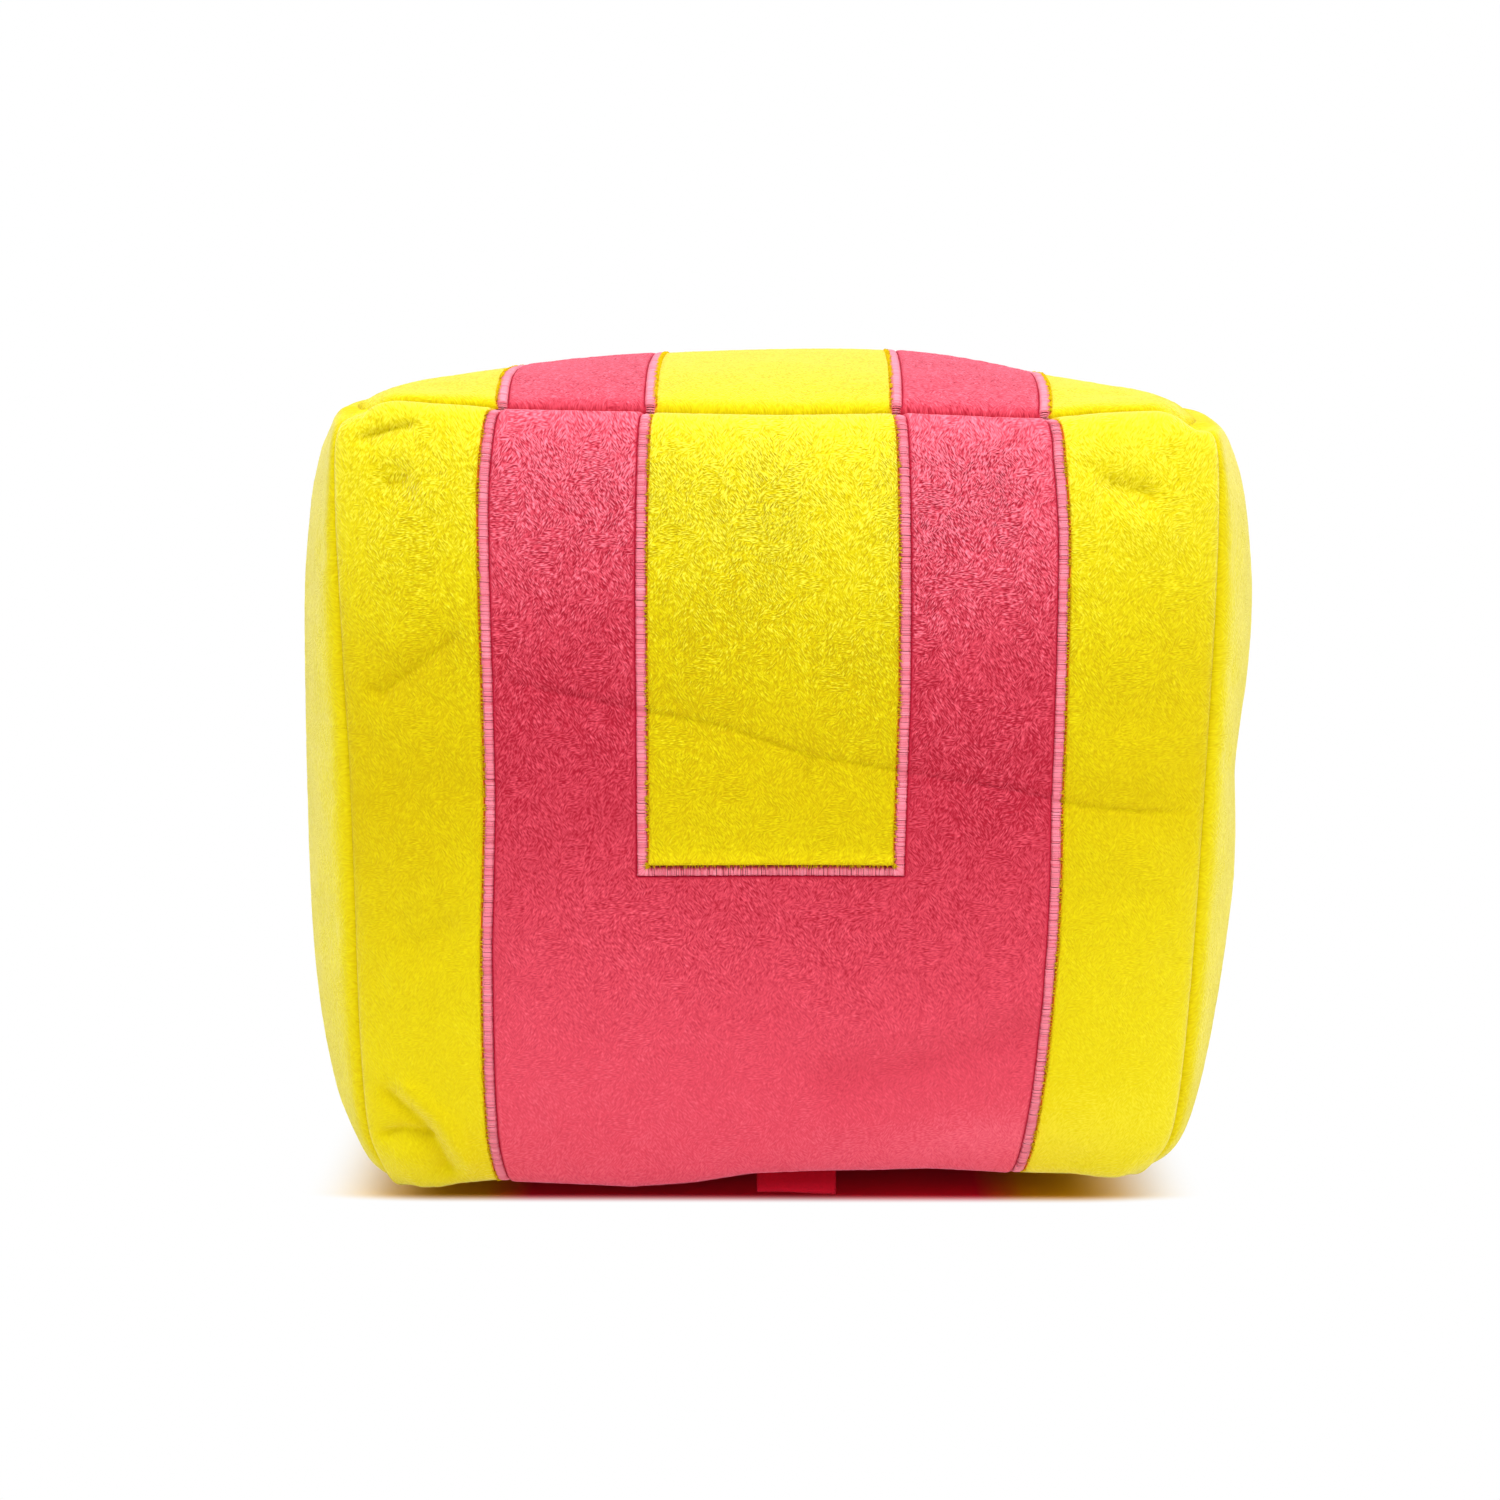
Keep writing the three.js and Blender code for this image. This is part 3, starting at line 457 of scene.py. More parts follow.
# By height on the front, in mm from its middle: how ruffled the pile is, and how much lighter or
# darker it is painted, partly for the way in which the pile lies and partly as painted light and
# shade by height.
RUFFLED = [(-85, 0.0), (-60, 0.04), (-45, 0.13), (-30, 0.24), (-5, 0.3), (20, 0.42), (40, 0.62), (75, 0.84)]
LAY_AND_PAINTED_LIGHT = [(-90, 0.04), (-52, -0.06), (-25, -0.17), (4, -0.29), (32, -0.23), (60, 0.0), (86, 0.14)]
RUFFLED_TOP, RUFFLED_TOP_PINK, RUFFLED_ELSEWHERE = 0.35, 0.55, 0.15


def ruffle(face, x, y):
    """How ruffled the pile is from 0 to 1: most in the upper part of the front, in patches."""
    patches = 1 + 0.18 * value_noise(x / 16, y / 16, grain_table(5))
    if face == "front":
        side = 1 - np.where(x > 0, 0.5, 0.4) * ease((np.abs(x) - 50) / 20)
        return np.clip(along_table(y, RUFFLED) * patches * side, 0, 1)
    if face == "top":
        on_pink = (np.abs(x) > STRIPE_INNER + 1) & (np.abs(x) < STRIPE_OUTER - 1)
        return np.clip(np.where(on_pink, RUFFLED_TOP_PINK, RUFFLED_TOP) * patches, 0, 1)
    return np.clip(RUFFLED_ELSEWHERE * patches, 0, 1)


def lay_and_painted_light(face, x, y):
    """Lightness painted on the pile: a wavy band by height, part lay and part light, a lit fold and a
    darker left strip.
    """
    if face != "front":
        return np.zeros(x.shape)
    fold = 0.1 * np.exp(-((x - 50) / 36) ** 2 - ((y + 77 - 0.12 * (x - 50)) / 8) ** 2)
    left_strip = 0.06 * ease((-x - 55) / 20)
    return along_table(y + 5 * np.sin(x / 23), LAY_AND_PAINTED_LIGHT) + fold - left_strip


print("pile at the front's middle, ruffled:", ruffle("front", centre, centre).round(2).item())

# %% [markdown]
# Meshes come from whole arrays. The cloth's right side is a fine grid, and its wrong side, which
# nobody sees, a coarse one. Between them, the cut edge is closed by one many-sided face to each
# coarse cell, so a piece is a closed solid with few wasted faces. Threads, pads and strands of
# pile are tubes: rings of points carried along a line.

# %% From arrays to a mesh
FINE = 8


def mesh_piece(name, points, face_sets, attributes=None, smooth=True):
    """A mesh from points in mm and arrays of faces; smooth is one flag, or one for each face."""
    used = np.unique(np.concatenate([faces.ravel() for faces in face_sets]))
    number = np.full(len(points), -1)
    number[used] = np.arange(len(used))
    loops = np.concatenate([number[faces].ravel() for faces in face_sets]).astype(np.int32)
    sizes = np.concatenate([np.full(len(faces), faces.shape[1]) for faces in face_sets])
    starts = np.concatenate([[0], np.cumsum(sizes)[:-1]]).astype(np.int32)
    mesh = bpy.data.meshes.new(name)
    mesh.vertices.add(len(used))
    mesh.vertices.foreach_set("co", (points[used] * MM).astype(np.float32).ravel())
    mesh.loops.add(len(loops))
    mesh.loops.foreach_set("vertex_index", loops)
    mesh.polygons.add(len(sizes))
    mesh.polygons.foreach_set("loop_start", starts)
    mesh.update(calc_edges=True)
    mesh.polygons.foreach_set("use_smooth", np.broadcast_to(smooth, len(sizes)).copy())
    for key, values in (attributes or {}).items():
        layer = mesh.attributes.new(key, "FLOAT", "POINT")
        layer.data.foreach_set("value", values[used].astype(np.float32))
    obj = bpy.data.objects.new(name, mesh)
    bpy.context.scene.collection.objects.link(obj)
    return obj


def grid_faces(index):
    """Quads between the neighbours in a grid of point numbers."""
    quads = [index[..., :-1, :-1], index[..., 1:, :-1], index[..., 1:, 1:], index[..., :-1, 1:]]
    return np.stack(quads, -1).reshape(-1, 4)


def tubes(name, centre, high, wide, sides, attributes=None):
    """Closed tubes, one to each row of centres: centre + cos(a) * high + sin(a) * wide."""
    angle = (np.arange(sides) * 2 * np.pi / sides)[:, None]
    ring = centre[:, :, None] + np.cos(angle) * high[:, :, None] + np.sin(angle) * wide[:, :, None]
    index = np.arange(ring[..., 0].size).reshape(ring.shape[:-1])
    here, there = index[:, :-1], index[:, 1:]
    walls = np.stack([here, np.roll(here, -1, 2), np.roll(there, -1, 2), there], -1).reshape(-1, 4)
    caps = np.concatenate([index[:, 0, ::-1], index[:, -1]])
    return mesh_piece(name, ring.reshape(-1, 3), [walls, caps], attributes)


def swollen_length(face, along, at, low, high, count):
    """Shares from low to high along a line of a panel, and the length in mm up to each."""
    share = np.linspace(low, high, count)
    other = np.full(share.shape, at)
    curve = bare_surface(face, share, other) if along == "u" else bare_surface(face, other, share)
    steps = np.linalg.norm(np.diff(curve, axis=0), axis=1)
    return share, np.concatenate([[0], np.cumsum(steps)])


def even_lines(face, along, at, breaks, spacing):
    """Grid lines between the breaks, evenly spaced in mm along the panel's swollen curve."""
    share, length = swollen_length(face, along, at, -1, 1, 6001)
    lines = [np.array([breaks[0]])]
    for low, high in zip(breaks[:-1], breaks[1:]):
        if abs(low) > 1 or abs(high) > 1:
            lines.append(np.linspace(low, high, FINE + 1)[1:])
            continue
        start, end = np.interp([low, high], share, length)
        cells = max(1, round((end - start) / spacing / FINE)) * FINE
        lines.append(np.interp(np.linspace(start, end, cells + 1)[1:], length, share))
    return np.concatenate(lines)


def cloth_faces(mask, rows):
    """Faces of a closed cloth over the kept coarse cells: fine right side, coarse wrong side, edge."""
    fine = np.repeat(np.repeat(mask, FINE, 0), FINE, 1)
    a, b = np.nonzero(fine)
    outer = np.stack([a * rows + b, (a + 1) * rows + b, (a + 1) * rows + b + 1, a * rows + b + 1], 1)
    first_inner = (fine.shape[0] + 1) * rows
    inner_rows = mask.shape[1] + 1
    i, j = np.nonzero(mask)
    inner = lambda p, q: first_inner + p * inner_rows + q
    under = np.stack([inner(i, j), inner(i, j + 1), inner(i + 1, j + 1), inner(i + 1, j)], 1)
    sets = [outer, under]
    steps = np.arange(FINE + 1)
    padded_mask = np.pad(mask, 1)
    sides = [
        (0, -1, (1, 0), (0, 0)),
        (1, 0, (1, 1), (1, 0)),
        (0, 1, (0, 1), (1, 1)),
        (-1, 0, (0, 0), (0, 1)),
    ]
    for di, dj, start, end in sides:
        open_side = mask & ~padded_mask[1 + di:1 + di + mask.shape[0], 1 + dj:1 + dj + mask.shape[1]]
        i, j = np.nonzero(open_side)
        way_i, way_j = end[0] - start[0], end[1] - start[1]
        fi = (i[:, None] + start[0]) * FINE + way_i * steps
        fj = (j[:, None] + start[1]) * FINE + way_j * steps
        edge = fi * rows + fj
        back = np.stack([inner(i + end[0], j + end[1]), inner(i + start[0], j + start[1])], 1)
        sets.append(np.concatenate([edge, back], 1))
    return sets


front_length = swollen_length("front", "u", 0.0, -1, 1, 6001)[1][-1]
print("the front is", round(front_length), "mm across, measured over its swell")

# %% [markdown]
# The cover is a little longer than the thread that gathers its seams, and the filling presses on
# it, so short puckers run in from every seam. A cloth simulation finds them: the closed cover,
# one per cent too large, is held at its seams and under its foot while pressure settles it. Only
# its fine unevenness is kept, capped below a millimetre, because the swell itself is known.

# %% Puckers by cloth simulation
LATTICE = 37
COVER_EXCESS, PRESSURE, BENDING = 0.01, 5.0, 5.0
PUCKER_SHARE, PUCKER_CAP = 0.42, 0.8


def settled_cover(lines, frames=24):
    """Heights in mm by which the simulated cover leaves the even surface, one table for a panel."""
    share = np.linspace(-1, 1, lines)
    u, v = np.meshgrid(share, share, indexing="ij")
    edge = (np.abs(u) >= 1) | (np.abs(v) >= 1)
    places = np.concatenate([bare_surface(face, u, v, even=True).reshape(-1, 3) for face in AXES])
    _, first, number = np.unique(np.round(places, 3), axis=0, return_index=True, return_inverse=True)
    number = number.reshape(len(AXES), lines, lines)
    cover = mesh_piece("cover_to_settle", places[first], [grid_faces(number)])
    under_foot = number[list(AXES).index("bottom")]
    held = np.unique(np.concatenate([number[:, edge].ravel(), under_foot.ravel()]))
    cover.vertex_groups.new(name="held").add(held.tolist(), 1.0, "REPLACE")
    cloth = cover.modifiers.new("cloth", "CLOTH")
    cloth.settings.vertex_group_mass = "held"
    cloth.settings.shrink_min = -COVER_EXCESS
    cloth.settings.use_pressure = True
    cloth.settings.uniform_pressure_force = PRESSURE
    cloth.settings.bending_stiffness = BENDING
    cloth.settings.effector_weights.gravity = 0.0
    cloth.collision_settings.use_collision = False
    cloth.point_cache.frame_start, cloth.point_cache.frame_end = 1, frames
    for frame_number in range(1, frames + 1):
        bpy.context.scene.frame_set(frame_number)
    settled = cover.evaluated_get(bpy.context.evaluated_depsgraph_get()).data
    ends = np.zeros(len(first) * 3, np.float32)
    settled.vertices.foreach_get("co", ends)
    moved = (ends.reshape(-1, 3) / MM - places[first])[number]
    bpy.context.scene.frame_set(1)
    bpy.data.objects.remove(cover)
    return {face: (moved[k] * surface_normal(face, u, v)).sum(-1) for k, face in enumerate(AXES)}


def fine_part(table, rounds=12):
    """A table less its own smoothed copy, each round of smoothing averaging the four neighbours."""
    smooth = table.copy()
    for _ in range(rounds):
        wide = np.pad(smooth, 1, mode="edge")
        around = wide[:-2, 1:-1] + wide[2:, 1:-1] + wide[1:-1, :-2] + wide[1:-1, 2:]
        smooth = (around + 4 * smooth) / 8
    return table - smooth


for face, table in settled_cover(LATTICE).items():
    if face != "bottom":
        fine = fine_part(table) * PUCKER_SHARE
        PUCKERS[face] = PUCKER_CAP * np.tanh(fine / PUCKER_CAP)
        PUCKERS[face][[0, -1]] = 0
        PUCKERS[face][:, [0, -1]] = 0
        print("puckers of the", face, "panel up to", np.abs(PUCKERS[face]).max().round(2), "mm")

# %% [markdown]
# A piece of plush needs its outline, its thickness and its pile. Near a satin border the pile is
# pressed down by the stitching, and at a seam it rounds over into the groove. The distance to the
# nearest pink edge, counted negative on the pink side, drives both the lift and the colours, and
# the distance to the nearest seam drives the groove.

# %% Distances on a panel
def panel_mm(face, u, v):
    """Places on a panel in mm from its middle: u and v times the half sizes there."""
    if face in ("top", "bottom"):
        half = TOP_HALF if face == "top" else FOOT_HALF
        return u * half, v * half
    up = (v + 1) / 2
    half = FOOT_HALF + (TOP_HALF - FOOT_HALF) * up + UPRIGHT_BOW * swell(v, 3.5)
    return u * half, v * (TOP_HEIGHT - FOOT_HEIGHT) / 2


def pink_distance(face, u, v):
    """Signed distance to the edge of the pink plush, negative on the pink."""
    x, y = panel_mm(face, u, v)
    across = panel_mm(face, np.ones_like(u), v)[0]
    band = np.abs(x) - U_OUTER * across
    if face in ("left", "right"):
        return np.full(u.shape, 50.0)
    if face == "bottom":
        return band
    gap = np.abs(x) - U_INNER * across
    if face != "top":
        foot = V_FOOT * (TOP_HEIGHT - FOOT_HEIGHT) / 2
        gap = np.maximum(gap, foot - y)
    return np.maximum(band, -gap)


def seam_distance(face, u, v):
    """Distance to the nearest seam along the swollen surface, roughly."""
    half = FOOT_HALF if face == "bottom" else TOP_HALF + 3
    x, y = half * (1 - np.abs(u)), half * (1 - np.abs(v))
    reach = lambda d: np.maximum(d, 0) + 3.5 * np.sqrt(np.clip(d / 12, 0, 1))
    return np.minimum(reach(x), reach(y))


def rounded(t):
    """Quarter circle from 0 to 1, steep at the start."""
    return np.sqrt(1 - (1 - np.clip(t, 0, 1)) ** 2)


def tucked(lift, seam):
    """A lift that falls to a quarter at a seam, over 2.5 mm."""
    return lift * (0.25 + 0.75 * ease(seam / 2.5))


print("half width of the pink underneath:", -pink_distance("bottom", centre, centre).round(1).item(), "mm")

# %% [markdown]
# The pile stands about a millimetre above the cloth. The yellow panel runs on under the pink one,
# bare there, because the pink is sewn over it. Along its cut edge it hangs a little over the foot
# of the rectangle. Each point of the pile also carries what its finish needs: how ruffled it is,
# how much light and shade is painted on it for its height and lay, how much painted shade it gets
# in a groove or a crease, and how far it is from the pink's edge. The back's pile carries the
# front creases' painted shade too, so faintly that it hardly shows.

# %% Making the plush pieces
YELLOW_PILE, PINK_PILE = 1.3, 1.5
PRESSED_YELLOW_EDGE, PRESSED_PINK_EDGE = 0.6, 0.8
FOOT_OVERHANG = 1.5
TURNED_IN = 0.03

# How far the shade of a seam's groove reaches on each panel, in mm. It lies on the sides and the
# top's front, which face less light than the front does.
GROOVE = {"front": 1.0, "back": 1.0, "top": 5.5, "bottom": 1.1, "left": 6.0, "right": 5.0}

# The wrong side lies far from any pink edge and gets the full painted shade of a groove; all else
# is 0 there.
WRONG_SIDE = {"edge": 50, "groove": 1}


def plush(name, face, cell, mask_of, lift_of, thickness, seed):
    """A closed piece of plush over part of a panel, with its pile as fine relief."""
    flat_u = [-1 - TURNED_IN, -1, 1, 1 + TURNED_IN]
    flat_v = list(flat_u)
    if face in ("front", "back", "top", "bottom"):
        flat_u = sorted(flat_u + [-U_OUTER, -U_INNER, U_INNER, U_OUTER])
    if face in ("front", "back"):
        flat_v = sorted(flat_v + [V_FOOT])
    us = even_lines(face, "u", 0.0, flat_u, cell)
    vs = even_lines(face, "v", 0.0, flat_v, cell)
    coarse_u, coarse_v = us[::FINE], vs[::FINE]
    middle_u = (coarse_u[1:] + coarse_u[:-1]) / 2
    middle_v = (coarse_v[1:] + coarse_v[:-1]) / 2
    mu, mv = np.meshgrid(middle_u, middle_v, indexing="ij")
    mask = mask_of(mu, mv) & ~((np.abs(mu) > 1) & (np.abs(mv) > 1))
    u, v = np.meshgrid(us, vs, indexing="ij")
    x, y = panel_mm(face, u, v)
    seam = seam_distance(face, u, v)
    ruffled = ruffle(face, x, y) * (1 - 0.5 * np.exp(-(seam / 9) ** 2))
    pile = pile_field(x, y, ruffled, seed)
    lift, relief = lift_of(u, v)
    half = TOP_HALF if face != "bottom" else FOOT_HALF
    corner = np.hypot(half * (1 - np.abs(u)), half * (1 - np.abs(v)))
    sunk = np.maximum(rounded(seam / 2.6), 0.9 * np.exp(-(corner / 9) ** 2))
    if face in ("left", "right"):
        lift = lift * (1 - 0.45 * np.exp(-(corner / 12) ** 2))
    height = lift * (0.35 + 0.65 * sunk) + pile * relief * sunk * (0.45 + 0.8 * ruffled)
    past = (np.abs(u) > 1) | (np.abs(v) > 1)
    height = np.where(past, 0.1, height)
    outer = on_panel(face, u, v, height)
    # Painted shade of the front's creases in the pile's tone: a sixth for each mm of depth, and never above
    # a quarter. The back carries it too, faintly.
    creased = np.zeros_like(u)
    if face in ("front", "back"):
        creased = np.clip(-front_creases(outer[..., 0], outer[..., 2]) / 6, 0, 0.25)
    cu, cv = np.meshgrid(coarse_u, coarse_v, indexing="ij")
    inner = on_panel(face, cu, cv, lift_of(cu, cv)[0] - thickness)
    points = np.concatenate([outer.reshape(-1, 3), inner.reshape(-1, 3)])
    if face == "bottom":
        points[:, 2] = np.maximum(points[:, 2], 0.0)
    # The groove value paints shade into the tone, in the seams' grooves and in the creases.
    values = {
        "pile": np.clip(0.5 + 0.16 * pile, 0, 1),
        "edge": pink_distance(face, u, v),
        "ruffled": ruffled,
        "lay_and_painted_light": lay_and_painted_light(face, x, y),
        "groove": np.maximum(1 - ease(seam / GROOVE[face]), creased),
        "across": x,
        "upward": y,
    }
    unseen = np.ones(inner[..., 0].size)
    attributes = {key: np.concatenate([value.ravel(), WRONG_SIDE.get(key, 0) * unseen])
                  for key, value in values.items()}
    face_sets = cloth_faces(mask, len(vs))
    turned_in = past.ravel()[face_sets[0]].any(1)
    smooth = np.concatenate([~turned_in, np.full(sum(map(len, face_sets[1:])), True)])
    obj = mesh_piece(name, points, face_sets, attributes, smooth)
    print(name, "faces", len(obj.data.polygons))
    return obj


def yellow_lift(face):
    """Full pile on the yellow, rounded over beside the satin, and bare cloth under the pink."""
    def lift(u, v):
        """Height of the pile and the spread of its relief, both in mm."""
        away = pink_distance(face, u, v) - SATIN_HALF
        near = rounded(away / 0.9)
        height = PRESSED_YELLOW_EDGE + (YELLOW_PILE - PRESSED_YELLOW_EDGE) * near
        if face in ("front", "back"):
            foot = V_FOOT * (TOP_HEIGHT - FOOT_HEIGHT) / 2
            past_foot = panel_mm(face, u, v)[1] - foot - SATIN_HALF
            over = FOOT_OVERHANG * np.exp(-(past_foot / 2.2) ** 2) * near
            height = height + np.where((past_foot > -0.5) & (np.abs(u) < U_INNER), over, 0)
        covered = away < -0.8
        return np.where(covered, -0.3, height), np.where(covered, 0.0, 0.02 + 0.03 * near)
    return lift


def pink_lift(face):
    """Full pile on the pink, rounded over beside the satin at its raw edge."""
    def lift(u, v):
        """Height of the pile and the spread of its relief, both in mm."""
        inside = -pink_distance(face, u, v) - SATIN_HALF
        near = rounded(inside / 1.1)
        height = PRESSED_PINK_EDGE + (PINK_PILE - PRESSED_PINK_EDGE) * near
        height = np.where(inside < -0.2, 0.45, height)
        return height, np.where(inside < -0.2, 0.0, 0.02 + 0.03 * near)
    return lift


CLOTH = 1.6
CELLS = {"front": 0.55, "top": 0.62, "left": 0.75, "right": 0.75, "back": 0.85, "bottom": 1.2}

panels = {}
for seed, face in enumerate(AXES):
    panels[face] = plush(f"{face}_plush", face, CELLS[face], lambda u, v: np.full(u.shape, True),
                         yellow_lift(face), CLOTH, 100 * seed + 7)

# %% [markdown]
# The pink plush is a U on the front and another on the back, two stripes over the top, and a wide
# band under the block. Each is a flat cut piece, laid on the yellow and sewn down round its edge.

# %% Pink plush
PINK_CLOTH = 0.9


def in_stripes(u, v):
    """Between the inner and the outer edge of either stripe."""
    return (np.abs(u) < U_OUTER) & (np.abs(u) > U_INNER)


def in_u_shape(u, v):
    """In the stripes, or in the foot that joins them."""
    return in_stripes(u, v) | ((np.abs(u) < U_OUTER) & (v < V_FOOT))


# Each piece: the frame's part that it stands for, its name, its panel, its shape and its seed.
PINK_PIECES = [
    ("front_applique", "front_pink_u", "front", in_u_shape, 811),
    ("back_applique", "back_pink_u", "back", in_u_shape, 821),
    ("top_stripe_left", "top_pink_left", "top", lambda u, v: in_stripes(u, v) & (u < 0), 831),
    ("top_stripe_right", "top_pink_right", "top", lambda u, v: in_stripes(u, v) & (u > 0), 841),
    ("bottom_band", "bottom_pink_band", "bottom", lambda u, v: np.abs(u) < U_OUTER, 851),
]
pinks = {node: plush(name, face, CELLS[face], shape, pink_lift(face), PINK_CLOTH, seed)
         for node, name, face, shape, seed in PINK_PIECES}

# %% [markdown]
# Satin stitch is one thread taken back and forth over the raw edge, so tightly that it makes a
# smooth cord-like band. Here each crossing is a bowed thread of its own, a third of a millimetre
# from the next, over a low pad that keeps light from showing between them.

# %% Satin stitch
THREAD_PITCH, THREAD_RADIUS = 0.37, 0.2
# Heights over the cloth: the crown of the band, and its ends on the pink and on the yellow side.
SATIN_CROWN, PINK_END, YELLOW_END = 1.3, 0.75, 0.2


def metric(face, u, v):
    """How many mm one unit of u and of v covers on the panel there."""
    step = 2e-3
    u0, v0 = np.clip(u, -0.997, 0.997), np.clip(v, -0.997, 0.997)
    moves = [bare_surface(face, u0 + du, v0 + dv) - bare_surface(face, u0 - du, v0 - dv)
             for du, dv in ((step, 0), (0, step))]
    return [np.linalg.norm(move, axis=-1) / (2 * step) for move in moves]


def edge_places(face, along, at, low, high, pitch):
    """Shares from low to high along an edge, a thread's pitch apart on the swollen panel."""
    share, length = swollen_length(face, along, at, low, high, 4001)
    count = max(2, round(length[-1] / pitch) + 1)
    return np.interp(np.linspace(0, length[-1], count), length, share)


def satin_threads(name, face, u0, v0, inner_ends, outer_ends, seed):
    """Bowed threads between two ends each, in mm from (u0, v0), every one a tube along an arch.

    The inner ends lie on the yellow. No two threads lie quite alike, and the threads of a foot,
    which hang under the yellow's edge, are painted darker for their last third, as painted shade
    besides the shadow that the edge casts.
    """
    rng = np.random.default_rng(seed)
    count, stations, sides = len(u0), 7, 5
    t = np.linspace(0, 1, stations)
    stray = rng.normal(0, 0.035, (count, 1))
    slide = 0.03 * rng.normal(0, 0.06, (count, 1, 1))
    ends = outer_ends[:, None] + (inner_ends - outer_ends)[:, None] * (t[:, None] + slide)
    across, upward = metric(face, u0, v0)
    u = u0[:, None] + (ends[..., 0] + stray) / across[:, None]
    v = v0[:, None] + (ends[..., 1] + stray) / upward[:, None]
    arch = (1 - np.abs(2 * t - 1) ** 2.4) ** (1 / 2.2)
    base = PINK_END * (1 - t) + YELLOW_END * t
    lift = base - 0.35 * (arch < 0.05) + arch * (SATIN_CROWN - base)
    lift = lift + rng.normal(0, 0.03, (count, 1))
    centre = on_panel(face, u, v, tucked(lift, seam_distance(face, u, v)))
    along = unit(np.gradient(centre, axis=1))
    beside = unit(np.cross(along, surface_normal(face, u, v)))
    radius = THREAD_RADIUS * (0.8 + 0.2 * rng.random((count, 1, 1)))
    # Each thread's tone is painted lighter at its crown and darker towards its ends, as a painted highlight
    # and painted shade.
    tone = 0.6 + 0.16 * rng.standard_normal((count, 1)) - 0.35 * np.abs(2 * t - 1) ** 3
    shaded = np.clip((inner_ends[:, 1:] - outer_ends[:, 1:]) / (2 * SATIN_HALF), 0, 1)
    ragged = 0.66 + 0.07 * rng.standard_normal((count, 1))
    tone = np.clip(tone, 0, 1) - 1.1 * shaded * ease((t - ragged) / 0.12)
    tone = np.repeat((tone.ravel() + 1) / 2, sides)
    print(name, "threads", count)
    return tubes(name, centre, radius * np.cross(beside, along), radius * beside, sides, {"tone": tone})


def upright_run(face, u_edge, outward, low=-1.0, high=1.0):
    """Reference places and thread ends of a satin run up an upright pink edge."""
    v = edge_places(face, "v", u_edge, low, high, THREAD_PITCH)
    u = np.full(v.shape, u_edge)
    inner = np.stack([np.full(v.shape, outward * SATIN_HALF), np.zeros(v.shape)], 1)
    return u, v, inner, -inner


def corner_run(u_corner, side):
    """Threads that fan round a corner: one end stays at the yellow corner, the other goes round."""
    steps = np.arange(THREAD_PITCH, 4 * SATIN_HALF - THREAD_PITCH / 2, THREAD_PITCH)
    down = np.minimum(steps, 2 * SATIN_HALF)
    level = np.maximum(steps - 2 * SATIN_HALF, 0)
    outer = np.stack([side * (-SATIN_HALF + level), SATIN_HALF - down], 1)
    inner = np.tile([side * SATIN_HALF, SATIN_HALF], (len(steps), 1))
    return np.full(len(steps), u_corner), np.full(len(steps), V_FOOT), inner, outer


def rectangle_run(face):
    """Down the left inner edge, round the corner, along the foot, round and up the right edge."""
    across, upward = metric(face, np.array([U_INNER]), np.array([V_FOOT]))
    above = V_FOOT + SATIN_HALF / upward[0]
    beside = U_INNER - SATIN_HALF / across[0]
    left = [part[::-1] for part in upright_run(face, -U_INNER, 1, above)]
    right = upright_run(face, U_INNER, -1, above)
    u = edge_places(face, "u", V_FOOT, -beside, beside, THREAD_PITCH)
    inner = np.stack([np.zeros(u.shape), np.full(u.shape, SATIN_HALF)], 1)
    foot = (u, np.full(u.shape, V_FOOT), inner, -inner)
    left_corner = corner_run(-U_INNER, 1)
    right_corner = [part[::-1] for part in corner_run(U_INNER, -1)]
    return [np.concatenate(parts) for parts in zip(left, left_corner, foot, right_corner, right)]


runs = {}
for face in ("front", "back"):
    runs[f"{face}_border_left"] = (face, upright_run(face, -U_OUTER, -1))
    runs[f"{face}_border_right"] = (face, upright_run(face, U_OUTER, 1))
    runs[f"{face}_border_inner"] = (face, rectangle_run(face))
for side, sign in (("left", -1), ("right", 1)):
    runs[f"top_border_{side}_outer"] = ("top", upright_run("top", sign * U_OUTER, sign))
    runs[f"top_border_{side}_inner"] = ("top", upright_run("top", sign * U_INNER, -sign))
    runs[f"bottom_border_{side}"] = ("bottom", upright_run("bottom", sign * U_OUTER, sign))

satins = {}
for seed, (node, (face, run)) in enumerate(runs.items()):
    satins[node] = satin_threads(f"{node}_satin", face, *run, 900 + seed)

# %% [markdown]
# Under the threads lies a low pad, and along each side runs a thin line where the needle went
# down: dark red beside the pink, partly painted shade of the gap there, and orange red beside the
# yellow, where pink fluff shows against the yellow cloth, partly painted pink light thrown back
# onto it.

# %% Pads and needle lines
def tube_along(name, face, u0, v0, offset, lift, wide, high):
    """A tube of half width wide and half height high, at an offset and a lift from a satin run."""
    across, upward = metric(face, u0, v0)
    u, v = u0 + offset[:, 0] / across, v0 + offset[:, 1] / upward
    centre = on_panel(face, u, v, tucked(lift, seam_distance(face, u, v)))
    normal = surface_normal(face, u, v)
    beside = unit(np.cross(unit(np.gradient(centre, axis=0)), normal))
    return tubes(name, centre[None], high * normal[None], wide * beside[None], 6)


pads, needle_shade_lines, fluff_bounce_lines = {}, {}, {}
for node, (face, (u0, v0, inner, outer)) in runs.items():
    pads[node] = tube_along(f"{node}_pad", face, u0, v0, (inner + outer) / 2, 0.55, 1.05, 0.5)
    needle_shade_lines[node] = tube_along(f"{node}_needle_shade_line", face, u0, v0, outer * 1.14, 1.0, 0.16, 0.16)
    fluff_bounce_lines[node] = tube_along(f"{node}_fluff_bounce_line", face, u0, v0, inner * 1.12, 0.85, 0.17, 0.17)
print("runs with a pad and two needle lines:", len(pads))

